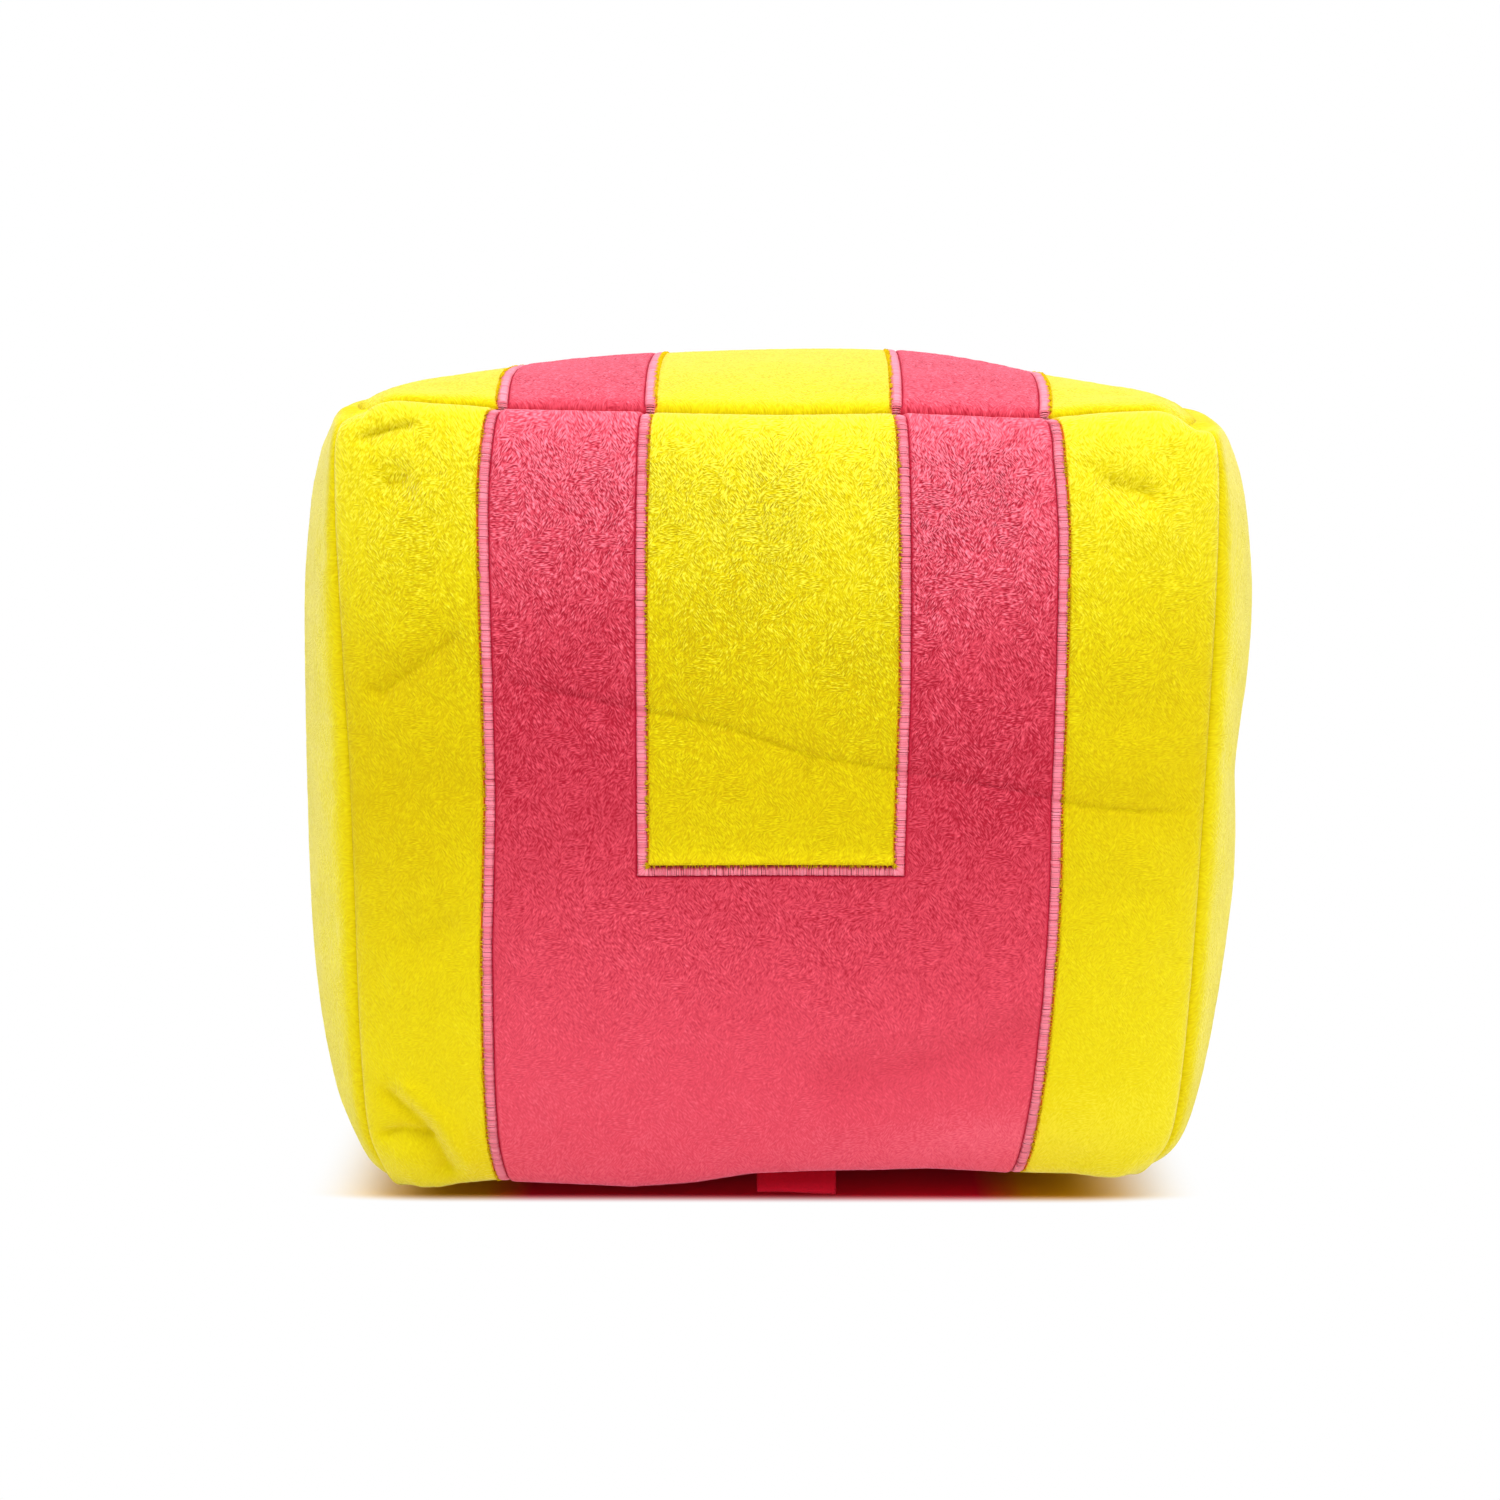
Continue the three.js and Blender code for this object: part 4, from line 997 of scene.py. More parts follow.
# %% [markdown]
# Tips of the yellow pile reach out over the stitching and cast a ragged shadow on it. Two strands
# and a half to a millimetre are as many as show, each a thin bent spike.

# %% Fringe of pile over the stitching
STRANDS_PER_MM = 2.5
# A strand's stations: how far along it they lie, their heights over the cloth and their radii.
STRAND_SHARES = np.array([0, 0.55, 1])
STRAND_HEIGHTS = np.array([0.7, 1.45, 1.35])
STRAND_RADII = np.array([0.14, 0.11, 0.02])


def fringe(name, face, run, seed):
    """Three-sided spikes from the yellow edge out over the satin, each bent and tapering."""
    u0, v0, inner, _ = run
    rng = np.random.default_rng(seed)
    count = int(len(u0) * THREAD_PITCH * STRANDS_PER_MM)
    at = rng.integers(0, len(u0), count)
    inward = inner[at] / SATIN_HALF
    beside = np.stack([-inward[:, 1], inward[:, 0]], 1)
    root = inward * (SATIN_HALF + 0.6) + beside * rng.uniform(-0.3, 0.3, (count, 1))
    tip = inward * (SATIN_HALF - 0.1 - 0.8 * rng.random((count, 1)))
    tip = tip + beside * rng.normal(0, 0.3, (count, 1))
    ends = root[:, None] + (tip - root)[:, None] * STRAND_SHARES[:, None]
    across, upward = metric(face, u0[at], v0[at])
    u = u0[at][:, None] + ends[..., 0] / across[:, None]
    v = v0[at][:, None] + ends[..., 1] / upward[:, None]
    lift = STRAND_HEIGHTS + rng.normal(0, 0.1, (count, 1))
    centre = on_panel(face, u, v, tucked(lift, seam_distance(face, u, v)))
    along = unit(centre[:, 2] - centre[:, 0])
    side = unit(np.cross(along, surface_normal(face, u0[at], v0[at])))
    high = np.cross(side, along)[:, None] * STRAND_RADII[:, None]
    return tubes(name, centre, high, side[:, None] * STRAND_RADII[:, None], 3)


fringes = [fringe(f"{node}_pile_fringe", face, run, 1200 + seed)
           for seed, (node, (face, run)) in enumerate(runs.items()) if face in ("front", "top")]
print("fringes", len(fringes))

# %% [markdown]
# The filling is a lump of white polyester that touches the cloth all over. It is never seen, but
# it belongs to the block, so it follows the same surface a few millimetres down.

# %% Filling
FILLING_EDGE, FILLING_SEAM = 0.97, 0.93


def filling(name, depth, lines):
    """Six grids of the swollen surface, sunk by depth and welded at the seams into one body."""
    share = np.sin(np.linspace(-np.pi / 2, np.pi / 2, lines)) * FILLING_EDGE
    u, v = np.meshgrid(share, share, indexing="ij")
    at_seam = (np.maximum(np.abs(u), np.abs(v)) >= FILLING_EDGE)[..., None]
    middle = np.array([0, 0, (TOP_HEIGHT + FOOT_HEIGHT) / 2])
    points = []
    for face, (out, right, up) in AXES.items():
        cube = out + (u[..., None] * right + v[..., None] * up) / FILLING_EDGE
        net = seam_net(cube[..., 0], cube[..., 1], cube[..., 2])
        inner = bare_surface(face, u, v) - depth * surface_normal(face, u, v)
        sunk = middle + (net - middle) * FILLING_SEAM
        points.append(np.where(at_seam, sunk, inner).reshape(-1, 3))
    points = np.concatenate(points)
    _, first, number = np.unique(np.round(points, 3), axis=0, return_index=True, return_inverse=True)
    obj = mesh_piece(name, points[first], [grid_faces(number.reshape(len(AXES), lines, lines))])
    print(name, "faces", len(obj.data.polygons))
    return obj


stuffing = filling("polyester_filling", 5.0, 41)

# %% [markdown]
# Each seam is held by a run of lockstitch. It lies a millimetre inside the groove, where only a
# parted seam would show it. The back's foot seam has a gap in the middle, through which the block
# is filled, and a thread of its own closes that by hand.

# %% Seam threads
SEWING_RADIUS, STITCH = 0.16, 2.5
THREAD_DEPTH, THREAD_WAVE = 1.4, 0.25


def seam_curve(x, y, z):
    """Points of a seam: the net with one cube coordinate running and the others held."""
    shape = np.broadcast_shapes(np.shape(x), np.shape(y), np.shape(z))
    return seam_net(*(np.broadcast_to(np.asarray(c, float), shape) for c in (x, y, z)))


def seam_thread(name, cube, inward):
    """A thin wavy tube that follows the seam's curve inside the groove, a wave to each stitch."""
    curve = seam_curve(*cube)
    inward = np.broadcast_to(np.array(inward) / np.sqrt(2), curve.shape)
    steps = np.gradient(curve, axis=0)
    length = np.cumsum(np.linalg.norm(steps, axis=1))
    wave = np.cos(length * 2 * np.pi / STITCH)[:, None]
    centre = curve + inward * (THREAD_DEPTH + THREAD_WAVE * wave)
    side = np.cross(unit(steps), inward)
    return tubes(name, centre[None], SEWING_RADIUS * inward[None], SEWING_RADIUS * side[None], 6)


span = np.linspace(-0.93, 0.93, 260)
opening = 0.36
# Each thread: the cube coordinates of its seam, and the way into the block from there.
threads = {
    "seam_thread_front_top": ((span, -1, 1), (0, 1, -1)),
    "seam_thread_back_top": ((span, 1, 1), (0, -1, -1)),
    "seam_thread_left_top": ((-1, span, 1), (1, 0, -1)),
    "seam_thread_right_top": ((1, span, 1), (-1, 0, -1)),
    "seam_thread_front_foot": ((span, -1, -1), (0, 1, 1)),
    "seam_thread_left_foot": ((-1, span, -1), (1, 0, 1)),
    "seam_thread_right_foot": ((1, span, -1), (-1, 0, 1)),
    "seam_thread_back_foot_left": ((span[span < -opening - 0.01], 1, -1), (0, -1, 1)),
    "seam_thread_back_foot_right": ((span[span > opening + 0.01], 1, -1), (0, -1, 1)),
    "closing_thread": ((span[np.abs(span) < opening], 1, -1), (0, -1, 1)),
    "seam_thread_front_left": ((-1, -1, span), (1, 1, 0)),
    "seam_thread_front_right": ((1, -1, span), (-1, 1, 0)),
    "seam_thread_back_left": ((-1, 1, span), (1, -1, 0)),
    "seam_thread_back_right": ((1, 1, span), (-1, -1, 0)),
}
sewn = {node: seam_thread(f"{node}_lockstitch", cube, inward)
        for node, (cube, inward) in threads.items()}
print("seam threads", len(sewn))

# %% [markdown]
# The tab is a short red ribbon, folded in two and caught in the front foot seam. It hangs down
# and forward from the seam, a little twisted, and is bare.

# %% Ribbon tab
TAB_WIDTH, TAB_CENTRE, TAB_LENGTH, RIBBON = 17.5, 4.4, 6.2, 0.35
TAB_INSIDE, TAB_LEAN = 2.0, 56


def ribbon_tab(name):
    """A folded ribbon: its outline goes down one layer, round the fold and up the other."""
    steps = np.linspace(-TAB_INSIDE, TAB_LENGTH, 14)
    gap = 0.35 * ease((steps + 0.5) / 3)
    bend = np.linspace(-np.pi / 2, np.pi / 2, 9)[1:-1]
    width = np.linspace(-0.5, 0.5, 25)[:, None, None]
    wave = 0.25 * np.sin(width * 5 + 1)
    lean = np.radians(TAB_LEAN)
    down = np.array([0, -np.cos(lean), -np.sin(lean)])
    outward = np.array([0, -np.sin(lean), np.cos(lean)])
    seam = seam_curve(TAB_CENTRE / FOOT_HALF, -1, -1)
    aside = (TAB_CENTRE - seam[0] + width * TAB_WIDTH) * np.array([1.0, 0, 0])
    sheets = []
    for thick in (RIBBON, 0):
        fold = gap[-1] + thick
        outline = np.concatenate([
            np.stack([steps, -gap - thick], 1),
            np.stack([TAB_LENGTH + fold * np.cos(bend), fold * np.sin(bend)], 1),
            np.stack([steps[::-1], gap[::-1] + thick], 1),
        ])
        depth = outline[:, :1] * (1 + 0.04 * np.sin(width * 4))
        rise = outline[:, 1:] + wave * np.clip(outline[:, :1], 0, None) / TAB_LENGTH
        sheets.append(seam + aside + depth * down + rise * outward)
    points = np.stack(sheets)
    index = np.arange(points[..., 0].size).reshape(points.shape[:-1])
    grids = [(index[0], 1), (index[1], -1), (index[:, 0], -1), (index[:, -1], 1),
             (index[:, :, 0], 1), (index[:, :, -1], -1)]
    obj = mesh_piece(name, points.reshape(-1, 3), [grid_faces(grid)[:, ::turn] for grid, turn in grids])
    print(name, "faces", len(obj.data.polygons))
    return obj


tab = ribbon_tab("red_ribbon_tab")

# %% [markdown]
# Materials start from the real cloth. One function turns a colour as a designer writes it into
# the linear value that a shader needs, and one adds a node with its settings and links.

# %% Colours and nodes
def linear(hex_colour):
    """sRGB hex to linear red, green, blue, alpha."""
    values = np.array([int(hex_colour[k:k + 2], 16) for k in (1, 3, 5)]) / 255
    values = np.where(values <= 0.04045, values / 12.92, ((values + 0.055) / 1.055) ** 2.4)
    return (*values.tolist(), 1.0)


def add_node(tree, kind, links=None, **settings):
    """A shader node; settings name its properties, and links feed its inputs by name or number.

    What feeds an input is a plain value, a socket, or a node, which gives its first output.
    """
    node = tree.nodes.new("ShaderNode" + kind)
    for key, value in settings.items():
        setattr(node, key, value)
    for key, value in (links or {}).items():
        if isinstance(value, bpy.types.Node):
            value = value.outputs[0]
        if isinstance(value, bpy.types.NodeSocket):
            tree.links.new(value, node.inputs[key])
        else:
            node.inputs[key].default_value = value
    return node


def new_material(name):
    """An empty material, and the tree that its nodes go in."""
    material = bpy.data.materials.new(name)
    material.use_nodes = True
    material.node_tree.nodes.clear()
    return material, material.node_tree


WHITE = linear("#ffffff")
print("half grey in linear light:", np.round(linear("#808080")[0], 3))

# %% [markdown]
# Minky plush is knitted polyester with its pile shorn to a millimetre or two. Its tone runs from
# a deep colour in the gaps between clumps, which is painted shade, to a pale one on the fibre tips,
# which is a painted highlight for the light that they catch. Fine streaks stand for the fibres;
# they lie one way in one patch and another way in the next, and where the pile is ruffled they
# wander and show more. Down in a groove or a crease the cloth is painted darker as shade and has
# less haze.

# %% Plush
# A fibre of this pile is about 0.02 mm wide. The streaks are coarser, because a finer one wouldn't
# show in the picture: their width and length in mm, and those of the clumps.
NAP_GRAIN, CLUMP_GRAIN = (0.24, 0.8), (1.2, 2.4)
# Noise scales in grains per mm: the wander of the streaks, the patches of lay, and broad clouds.
DRIFT_SCALE, LAY_SCALE, CLOUD_SCALE = 0.16, 0.11, 0.05
# The lay of the streaks in radians: one all over, and two more where the lay's noise is higher.
FIRST_LAY = -0.6
OTHER_LAYS = [(0.45, 0.5, 0.5), (0.56, 0.6, 1.45)]


def plush_material(name, sheen, tip, body, valley, edge_shade_colour, pink_side):
    """Plush whose colour runs from painted shade in its valleys by its body to a painted highlight on its
    tips, with a haze of sheen.
    """
    material, tree = new_material(name)
    across, upward, ruffled, pile, lay_and_light, groove, edge = [
        add_node(tree, "Attribute", attribute_name=key).outputs["Fac"]
        for key in ("across", "upward", "ruffled", "pile", "lay_and_painted_light", "groove", "edge")]
    place = add_node(tree, "CombineXYZ", {0: across, 1: upward})
    drift = add_node(tree, "TexNoise", {"Vector": place, "Scale": DRIFT_SCALE, "Detail": 2.0})
    amount = add_node(tree, "Math", {0: ruffled, 1: 1.1, 2: 0.5}, operation="MULTIPLY_ADD")
    wander = add_node(tree, "VectorMath", {0: drift.outputs["Color"], "Scale": amount}, operation="SCALE")
    moved = add_node(tree, "VectorMath", {0: place, 1: wander}, operation="ADD")

    def streaks_at(angle, grain):
        """Noise with grains of a width and length in mm, turned by an angle from the upright."""
        turned = add_node(tree, "Mapping", {"Vector": moved, "Rotation": (0.0, 0.0, angle)})
        scaled = add_node(tree, "VectorMath", {0: turned, 1: (1 / grain[0], 1 / grain[1], 1.0)},
                          operation="MULTIPLY")
        return add_node(tree, "TexNoise", {"Vector": scaled, "Scale": 1.0, "Detail": 0.0})

    lay = add_node(tree, "TexNoise", {"Vector": place, "Scale": LAY_SCALE, "Detail": 1.0})
    fibre = streaks_at(FIRST_LAY, NAP_GRAIN)
    for low, high, angle in OTHER_LAYS:
        share = add_node(tree, "MapRange", {"Value": lay, "From Min": low, "From Max": high})
        other = streaks_at(angle, NAP_GRAIN)
        fibre = add_node(tree, "Mix", {0: share, 2: fibre, 3: other}, data_type="FLOAT")
    clumps = streaks_at(0.0, CLUMP_GRAIN)
    nap = add_node(tree, "Math", {0: clumps, 1: 0.1, 2: fibre}, operation="MULTIPLY_ADD")
    clouds = add_node(tree, "TexNoise", {"Vector": place, "Scale": CLOUD_SCALE, "Detail": 3.0})

    # Tone: the nap's height about its mean, times a contrast, and then a weight of each other part.
    # Low tones are painted shade in the valleys, and high ones a painted highlight on the tips.
    height = add_node(tree, "Math", {0: nap, 1: 0.55}, operation="SUBTRACT")
    contrast = add_node(tree, "Math", {0: ruffled, 1: 1.95, 2: 0.35}, operation="MULTIPLY_ADD")
    tone = add_node(tree, "Math", {0: height, 1: contrast, 2: 0.435}, operation="MULTIPLY_ADD")
    # The lay's weight paints light and shade by height into the tone.
    for part, weight in ((pile, 0.05), (clouds, 0.08), (lay_and_light, 1.0), (groove, -0.16)):
        tone = add_node(tree, "Math", {0: part, 1: weight, 2: tone}, operation="MULTIPLY_ADD")
    ramp = add_node(tree, "ValToRGB", {"Fac": tone})
    stops = ramp.color_ramp.elements
    stops[0].position, stops[0].color = 0.05, linear(valley)
    stops[1].position, stops[1].color = 0.95, linear(tip)
    stops.new(0.5).color = linear(body)

    # Beside the stitching, the needle has drawn the pile flat into a dip, and there it takes a darker
    # edge colour: partly the flattened pile, partly painted shade of the dip.
    low, high, start, end = (-2.0, -1.3, 0.0, 1.0) if pink_side else (1.2, 1.7, 1.0, 0.0)
    near = add_node(tree, "MapRange", {"Value": edge, "From Min": low, "From Max": high,
                                       "To Min": start, "To Max": end})
    colour = add_node(tree, "Mix", {0: near, 6: ramp, 7: linear(edge_shade_colour)}, data_type="RGBA")

    # Haze of the tips: more where the tone is light, and then a share for each other part.
    haze = add_node(tree, "MapRange", {"Value": tone, "From Min": 0.1, "From Max": 0.55,
                                       "To Min": 0.45, "To Max": 1.05})
    for part, weight, rest in ((groove, -0.25, 0.42), (lay_and_light, 2.4, 1.0), (ruffled, -0.4, 1.0)):
        share = add_node(tree, "Math", {0: part, 1: weight, 2: rest}, operation="MULTIPLY_ADD")
        haze = add_node(tree, "Math", {0: haze, 1: share}, operation="MULTIPLY")
    depth = add_node(tree, "Math", {0: ruffled, 1: 0.7, 2: 0.3}, operation="MULTIPLY_ADD")
    bump = add_node(tree, "Bump", {"Height": nap, "Strength": depth, "Distance": 0.7 * MM})
    shader = add_node(tree, "BsdfPrincipled", {
        "Base Color": colour.outputs[2], "Roughness": 0.95, "Specular IOR Level": 0.1,
        "Sheen Weight": haze, "Sheen Roughness": 0.45, "Sheen Tint": linear(sheen), "Normal": bump})
    add_node(tree, "OutputMaterial", {"Surface": shader})
    print(name, "nodes", len(tree.nodes))
    return material


# Minky, dyed bright yellow: its valleys are painted mustard as shade, its tips a pale painted
# highlight, and its sheen is a warm white.
yellow_plush = plush_material("Yellow minky plush", "#fffde8", "#fdf244", "#e3d302", "#ccaf00",
                              "#d9a008", False)
# The same cloth dyed coral pink: its valleys are painted crimson as shade, and its sheen is a cool
# pink.
pink_plush = plush_material("Coral pink minky plush", "#ffbcdc", "#ff8297", "#de4b5f", "#ad1e33",
                            "#c02840", True)

# %% [markdown]
# Embroidery thread is glossy rayon or polyester. Its threads differ a little in tone, and the
# light runs along the crown of the band.

# %% Thread and ribbon
def thread_material(name, light, dark, shade, roughness):
    """Thread whose tone goes from its shade colour by the dark one to the light one."""
    material, tree = new_material(name)
    tone = add_node(tree, "Attribute", attribute_name="tone").outputs["Fac"]
    ramp = add_node(tree, "ValToRGB", {"Fac": tone})
    stops = ramp.color_ramp.elements
    stops[0].color, stops[1].color = linear(shade), linear(light)
    stops.new(0.5).color = linear(dark)
    shader = add_node(tree, "BsdfPrincipled", {
        "Base Color": ramp, "Roughness": roughness, "Specular IOR Level": 0.4,
        "Sheen Weight": 0.15, "Sheen Roughness": 0.3})
    add_node(tree, "OutputMaterial", {"Surface": shader})
    return material


# Rayon embroidery thread is a bundle of smooth endless fibres, so it shines along its crown.
satin_thread = thread_material("Pink rayon satin stitch", "#ff9cb0", "#e0586f", "#842430", 0.35)
# Sewing thread is spun from short fibres, so it is dull. It carries no tone, so it takes its shade.
yellow_thread = thread_material("Yellow spun polyester thread", "#f4e05a", "#e2c832", "#c8ac20", 0.7)


def plain_cloth(name, colour, roughness, grain_mm):
    """Cloth of one colour with a fine noise in tone and relief, its grain in millimetres."""
    material, tree = new_material(name)
    place = add_node(tree, "TexCoord").outputs["Object"]
    noise = add_node(tree, "TexNoise", {"Vector": place, "Scale": 1 / (grain_mm * MM), "Detail": 3.0})
    light = linear(colour)
    dark = tuple(value * 0.72 for value in light[:3]) + (1.0,)
    tint = add_node(tree, "Mix", {0: noise, 6: dark, 7: light}, data_type="RGBA")
    bump = add_node(tree, "Bump", {"Height": noise, "Strength": 0.3, "Distance": 0.3 * MM})
    shader = add_node(tree, "BsdfPrincipled", {
        "Base Color": tint.outputs[2], "Roughness": roughness, "Specular IOR Level": 0.1,
        "Normal": bump})
    add_node(tree, "OutputMaterial", {"Surface": shader})
    return material


# Needle holes pull dark fluff together, and the dark red line is partly painted shade of the gap
# beside the stitching. Pink fluff on yellow cloth looks orange, and the orange line is partly
# painted pink light thrown back onto the yellow.
needle_and_shade_red = plain_cloth("Dark red needle holes", "#b01834", 0.9, 0.6)
fluff_and_bounce_orange = plain_cloth("Orange red fluff", "#e0601c", 0.9, 0.6)
# Ribbon is woven of fine threads. This one's dull side is out, so it is matt. Its deep red is
# partly painted shade, for it hangs in the shadow of the foot.
red_ribbon = plain_cloth("Red satin ribbon", "#c40e2a", 0.8, 0.5)
fringe_yellow = plain_cloth("Yellow pile fringe", "#e8c408", 0.95, 0.6)
# Carded polyester fibre is crimped and loose, so it looks like white wool.
white_fibre = plain_cloth("White polyester fibre", "#f4f2ec", 0.95, 1.5)
print("materials, the frame's own included:", len(bpy.data.materials))

# %% [markdown]
# Every piece now gets its finish and the body that it rides on, and the parts of the frame that it
# stands for are hidden.

# %% Finishing the pieces
def finish_piece(obj, material, slot, *nodes):
    """Give a piece its finish, set it on the body, and hide the parts of the frame that it stands for. The
    slot is not used.
    """
    obj.data.materials.clear()
    obj.data.materials.append(material)
    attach(obj, "root")
    if nodes:
        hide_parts(*nodes)
    return obj


for face, obj in panels.items():
    finish_piece(obj, yellow_plush, "yellow_plush", f"{face}_panel")

for node, obj in pinks.items():
    finish_piece(obj, pink_plush, "pink_plush", node)
    if "applique" in node:
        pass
    elif node == "bottom_band":
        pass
    else:
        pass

for node, obj in satins.items():
    finish_piece(obj, satin_thread, "satin_stitch", node)
    finish_piece(pads[node], satin_thread, "satin_stitch")
    finish_piece(needle_shade_lines[node], needle_and_shade_red, "pink_plush")
    finish_piece(fluff_bounce_lines[node], fluff_and_bounce_orange, "pink_plush")
for obj in fringes:
    finish_piece(obj, fringe_yellow, "yellow_plush")
for node, obj in sewn.items():
    finish_piece(obj, yellow_thread, "seam_thread", node)
finish_piece(tab, red_ribbon, "red_ribbon", "label_tab")
finish_piece(stuffing, white_fibre, "polyester_fill", "stuffing")

# %% [markdown]
# The block stands on a white sweep. The floor takes the soft shadow near the block and turns to
# plain white further off. Close under the foot its shadow is painted with a tint and given a faint
# painted glow of it, as if the cloth threw its colour back: red below the pink and brown below the
# yellow.

# %% Floor
SWEEP_HALF = 6.0
# In metres: the shadow's box from the middle out, its shift, and how far past it the floor turns
# white. It does so faster before and behind the block than beside it.
SHADOW_BOX, SHADOW_SHIFT, SHADOW_REACH = (0.068, 0.078, 0.0), (0.005, 0.0, 0.0), 0.034
SHADOW_STRETCH = (1.0, 3.6, 0.0)
# Painted tints of the shadow from the middle out to the sides, the white last, and where they lie
# between two widths.
SHADOW_TINTS = ["#f4304c", "#eca41c", "#f2bc40", "#f8e8c0"]
TINT_PLACES, TINT_FROM, TINT_TO = (0.15, 0.45, 0.75), 0.05, 0.12
# Strength of the faint painted glow in the shadow's tint, which lights the block a little too.
BOUNCED = 0.02


def direct_ray(tree):
    """1 for what is seen straight on, in a mirror or through glass, and 0 for light in the room."""
    path = add_node(tree, "LightPath").outputs
    seen = add_node(tree, "Math", {0: path["Is Camera Ray"], 1: path["Is Glossy Ray"]},
                    operation="MAXIMUM")
    return add_node(tree, "Math", {0: seen, 1: path["Is Transmission Ray"]}, operation="MAXIMUM")


def sweep_floor():
    """A wide floor, matt with a painted tint and a faint painted glow close to the block, and of an even
    white further off.
    """
    half = SWEEP_HALF
    mesh = bpy.data.meshes.new("white_sweep")
    corners = [(-half, -half, 0), (half, -half, 0), (half, half, 0), (-half, half, 0)]
    mesh.from_pydata(corners, [], [(0, 1, 2, 3)])
    obj = bpy.data.objects.new("white_sweep", mesh)
    bpy.context.scene.collection.objects.link(obj)
    material, tree = new_material("White sweep")
    place = add_node(tree, "TexCoord").outputs["Object"]
    centred = add_node(tree, "VectorMath", {0: place, 1: SHADOW_SHIFT}, operation="ADD")
    positive = add_node(tree, "VectorMath", {0: centred}, operation="ABSOLUTE")
    beyond = add_node(tree, "VectorMath", {0: positive, 1: SHADOW_BOX}, operation="SUBTRACT")
    outside = add_node(tree, "VectorMath", {0: beyond, 1: (0.0, 0.0, 0.0)}, operation="MAXIMUM")
    uneven = add_node(tree, "VectorMath", {0: outside, 1: SHADOW_STRETCH}, operation="MULTIPLY")
    away = add_node(tree, "VectorMath", {0: uneven}, operation="LENGTH").outputs["Value"]
    far = add_node(tree, "MapRange", {"Value": away, "From Min": 0.0, "From Max": SHADOW_REACH},
                   interpolation_type="SMOOTHSTEP")
    seen = direct_ray(tree)
    share = add_node(tree, "Math", {0: far, 1: seen}, operation="MULTIPLY")
    sideways = add_node(tree, "SeparateXYZ", {0: positive})
    along = add_node(tree, "MapRange", {"Value": sideways, "From Min": TINT_FROM, "From Max": TINT_TO})
    tint = add_node(tree, "ValToRGB", {"Fac": along})
    stops = tint.color_ramp.elements
    stops[0].color, stops[1].color = linear(SHADOW_TINTS[0]), WHITE
    for position, colour in zip(TINT_PLACES, SHADOW_TINTS[1:]):
        stops.new(position).color = linear(colour)
    # Seen straight on, the floor near the block takes the painted tint; light in the room finds it white.
    shade = add_node(tree, "Mix", {0: seen, 6: WHITE, 7: tint}, data_type="RGBA").outputs[2]
    matt = add_node(tree, "BsdfDiffuse", {"Color": shade})
    bounced = add_node(tree, "Emission", {"Color": tint, "Strength": BOUNCED})
    near = add_node(tree, "AddShader", {0: matt, 1: bounced})
    whiter = add_node(tree, "Mix", {0: far, 6: tint, 7: WHITE}, data_type="RGBA").outputs[2]
    glow = add_node(tree, "Emission", {"Color": whiter, "Strength": 1.0})
    both = add_node(tree, "MixShader", {0: share, 1: near, 2: glow})
    add_node(tree, "OutputMaterial", {"Surface": both})
    mesh.materials.append(material)
    print("floor nodes", len(tree.nodes))


sweep_floor()

# %% [markdown]
# A broad light overhead, weaker ones round the block and a white room light it evenly. The room
# is plain white to the eye, and gives the block little light.

# %% Room and lamps
ROOM_LEVEL = 0.15

world = bpy.data.worlds.new("White room")
bpy.context.scene.world = world
world.use_nodes = True
world.node_tree.nodes.clear()
strength = add_node(world.node_tree, "MapRange",
                    {"Value": direct_ray(world.node_tree), "To Min": ROOM_LEVEL})
sky = add_node(world.node_tree, "Background", {"Color": WHITE, "Strength": strength})
add_node(world.node_tree, "OutputWorld", {"Surface": sky})


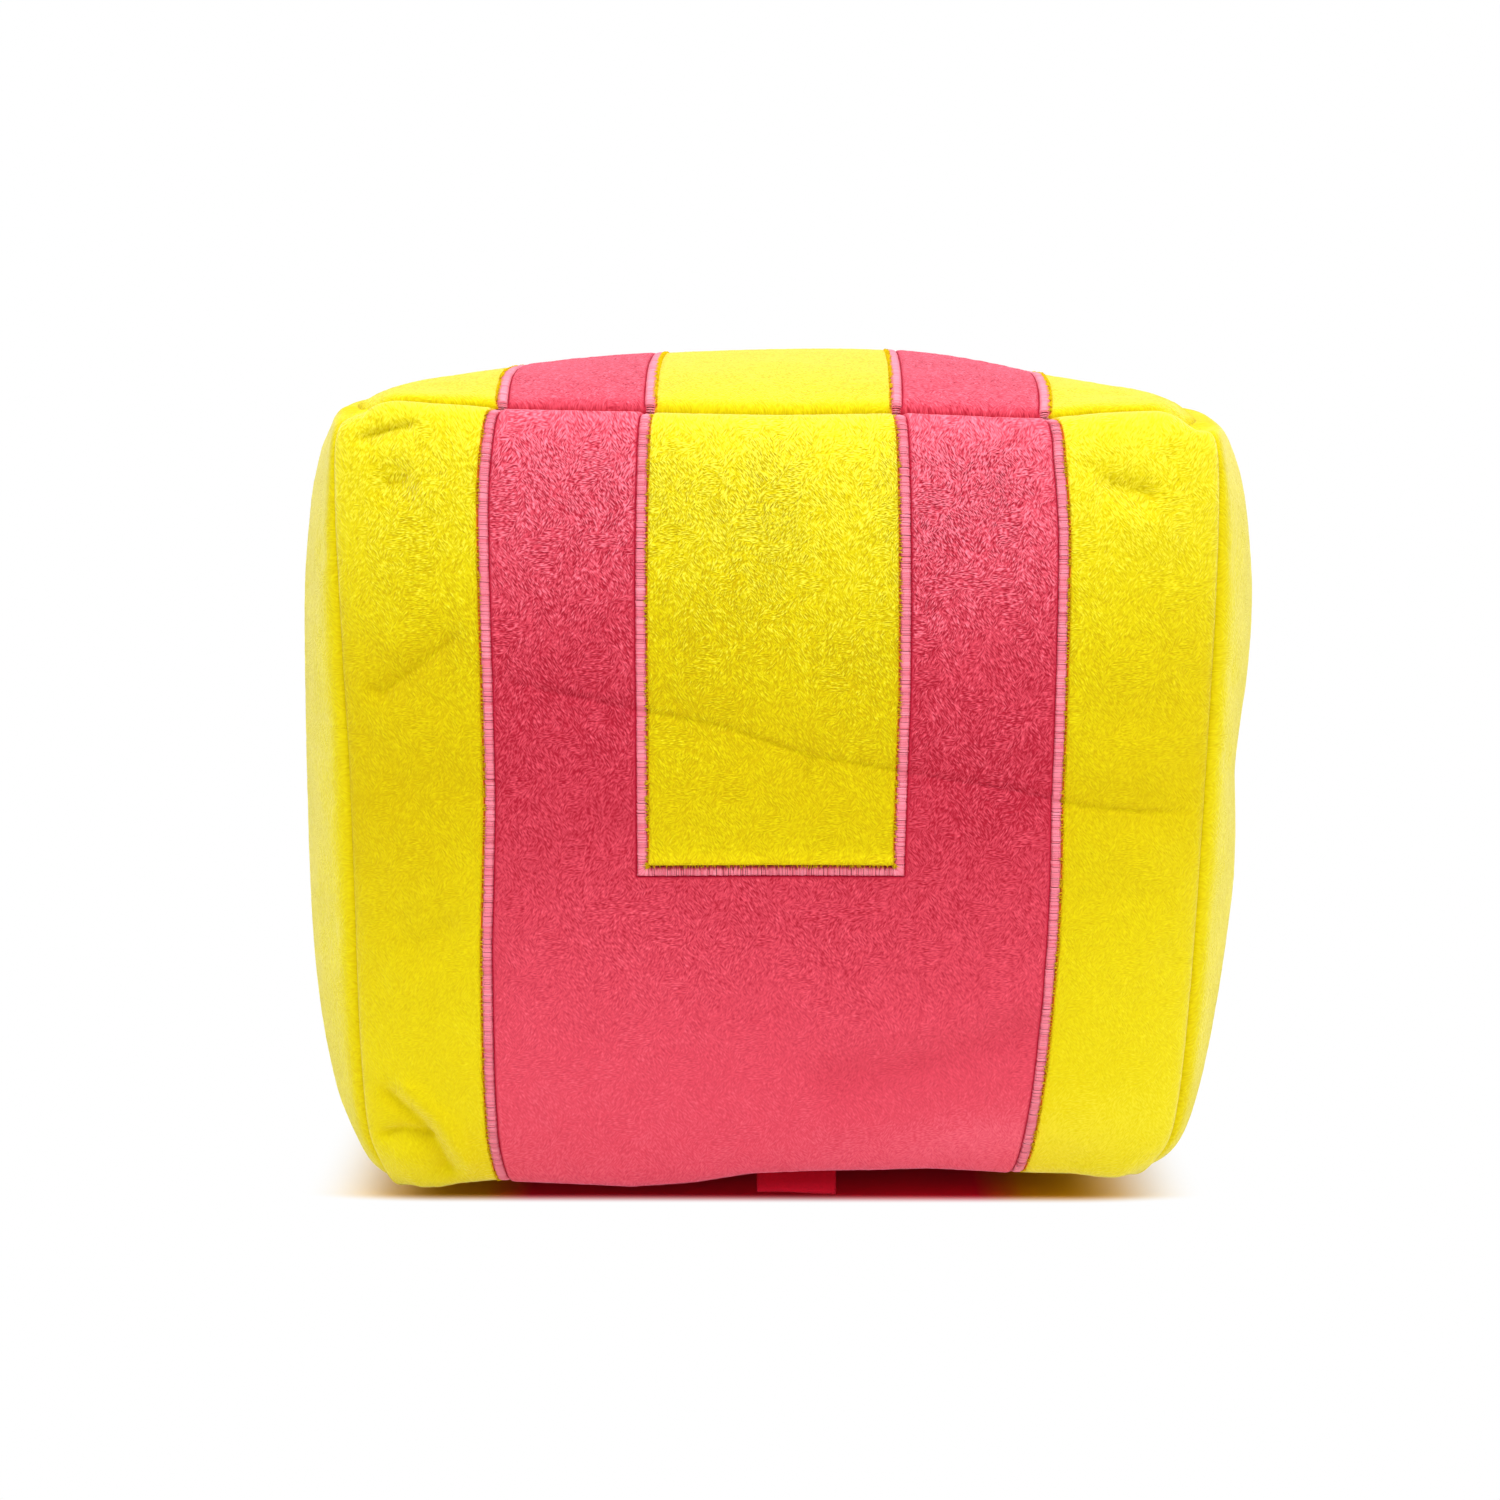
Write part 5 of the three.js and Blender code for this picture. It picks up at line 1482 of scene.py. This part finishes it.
def area_light(name, place, target, size, power):
    """A square lamp at a place, turned to face a target."""
    data = bpy.data.lights.new(name, "AREA")
    data.size, data.energy = size, power
    obj = bpy.data.objects.new(name, data)
    bpy.context.scene.collection.objects.link(obj)
    obj.location = place
    direction = np.array(target) - np.array(place)
    obj.rotation_euler = Vector(direction).to_track_quat("-Z", "Y").to_euler()


# Each lamp: its name, its place, the point that it faces, its width in m and its power in W.
LAMPS = [
    ("overhead_softbox", (0.0, -0.1, 1.2), (0, 0, 0.1), 1.3, 13),
    ("front_top_softbox", (0.0, -0.8, 1.0), (0, 0, 0.12), 0.7, 8.2),
    ("left_softbox", (-1.2, -0.2, 0.6), (0, 0, 0.1), 0.8, 3.3),
    ("back_softbox", (0.0, 1.3, 0.45), (0, 0, 0.08), 0.8, 6),
    ("right_softbox", (1.2, -0.2, 0.6), (0, 0, 0.1), 0.8, 5),
]
for lamp in LAMPS:
    area_light(*lamp)
print("lamps:", len(LAMPS))

# %% [markdown]
# The camera stands 0.8 m before the front seams at the height of the block's top, and looks down
# a little. The block's middle lies 27 pixels right of the picture's, in a frame of 1500.

# %% Camera
PICTURE = 1500
FOCAL_PIXELS = 3685.0
HORIZON_ROW, MIDDLE_COLUMN = 316, 777
CAMERA_BACK, CAMERA_HEIGHT = 0.8895, 0.196
SENSOR = 36.0

camera_data = bpy.data.cameras.new("camera")
camera_data.sensor_width = SENSOR
camera_data.lens = SENSOR * FOCAL_PIXELS / PICTURE
camera = bpy.data.objects.new("camera", camera_data)
bpy.context.scene.collection.objects.link(camera)
camera.location = (0, -CAMERA_BACK, CAMERA_HEIGHT)
pitch = np.arctan2(PICTURE / 2 - HORIZON_ROW, FOCAL_PIXELS)
yaw = np.arctan2(MIDDLE_COLUMN - PICTURE / 2, FOCAL_PIXELS)
camera.rotation_euler = (np.pi / 2 - pitch, 0, yaw)
bpy.context.scene.camera = camera
bpy.context.scene.view_settings.view_transform = "Standard"
print("lens:", round(camera_data.lens, 1), "mm, looking down", np.degrees(pitch).round(1), "degrees")
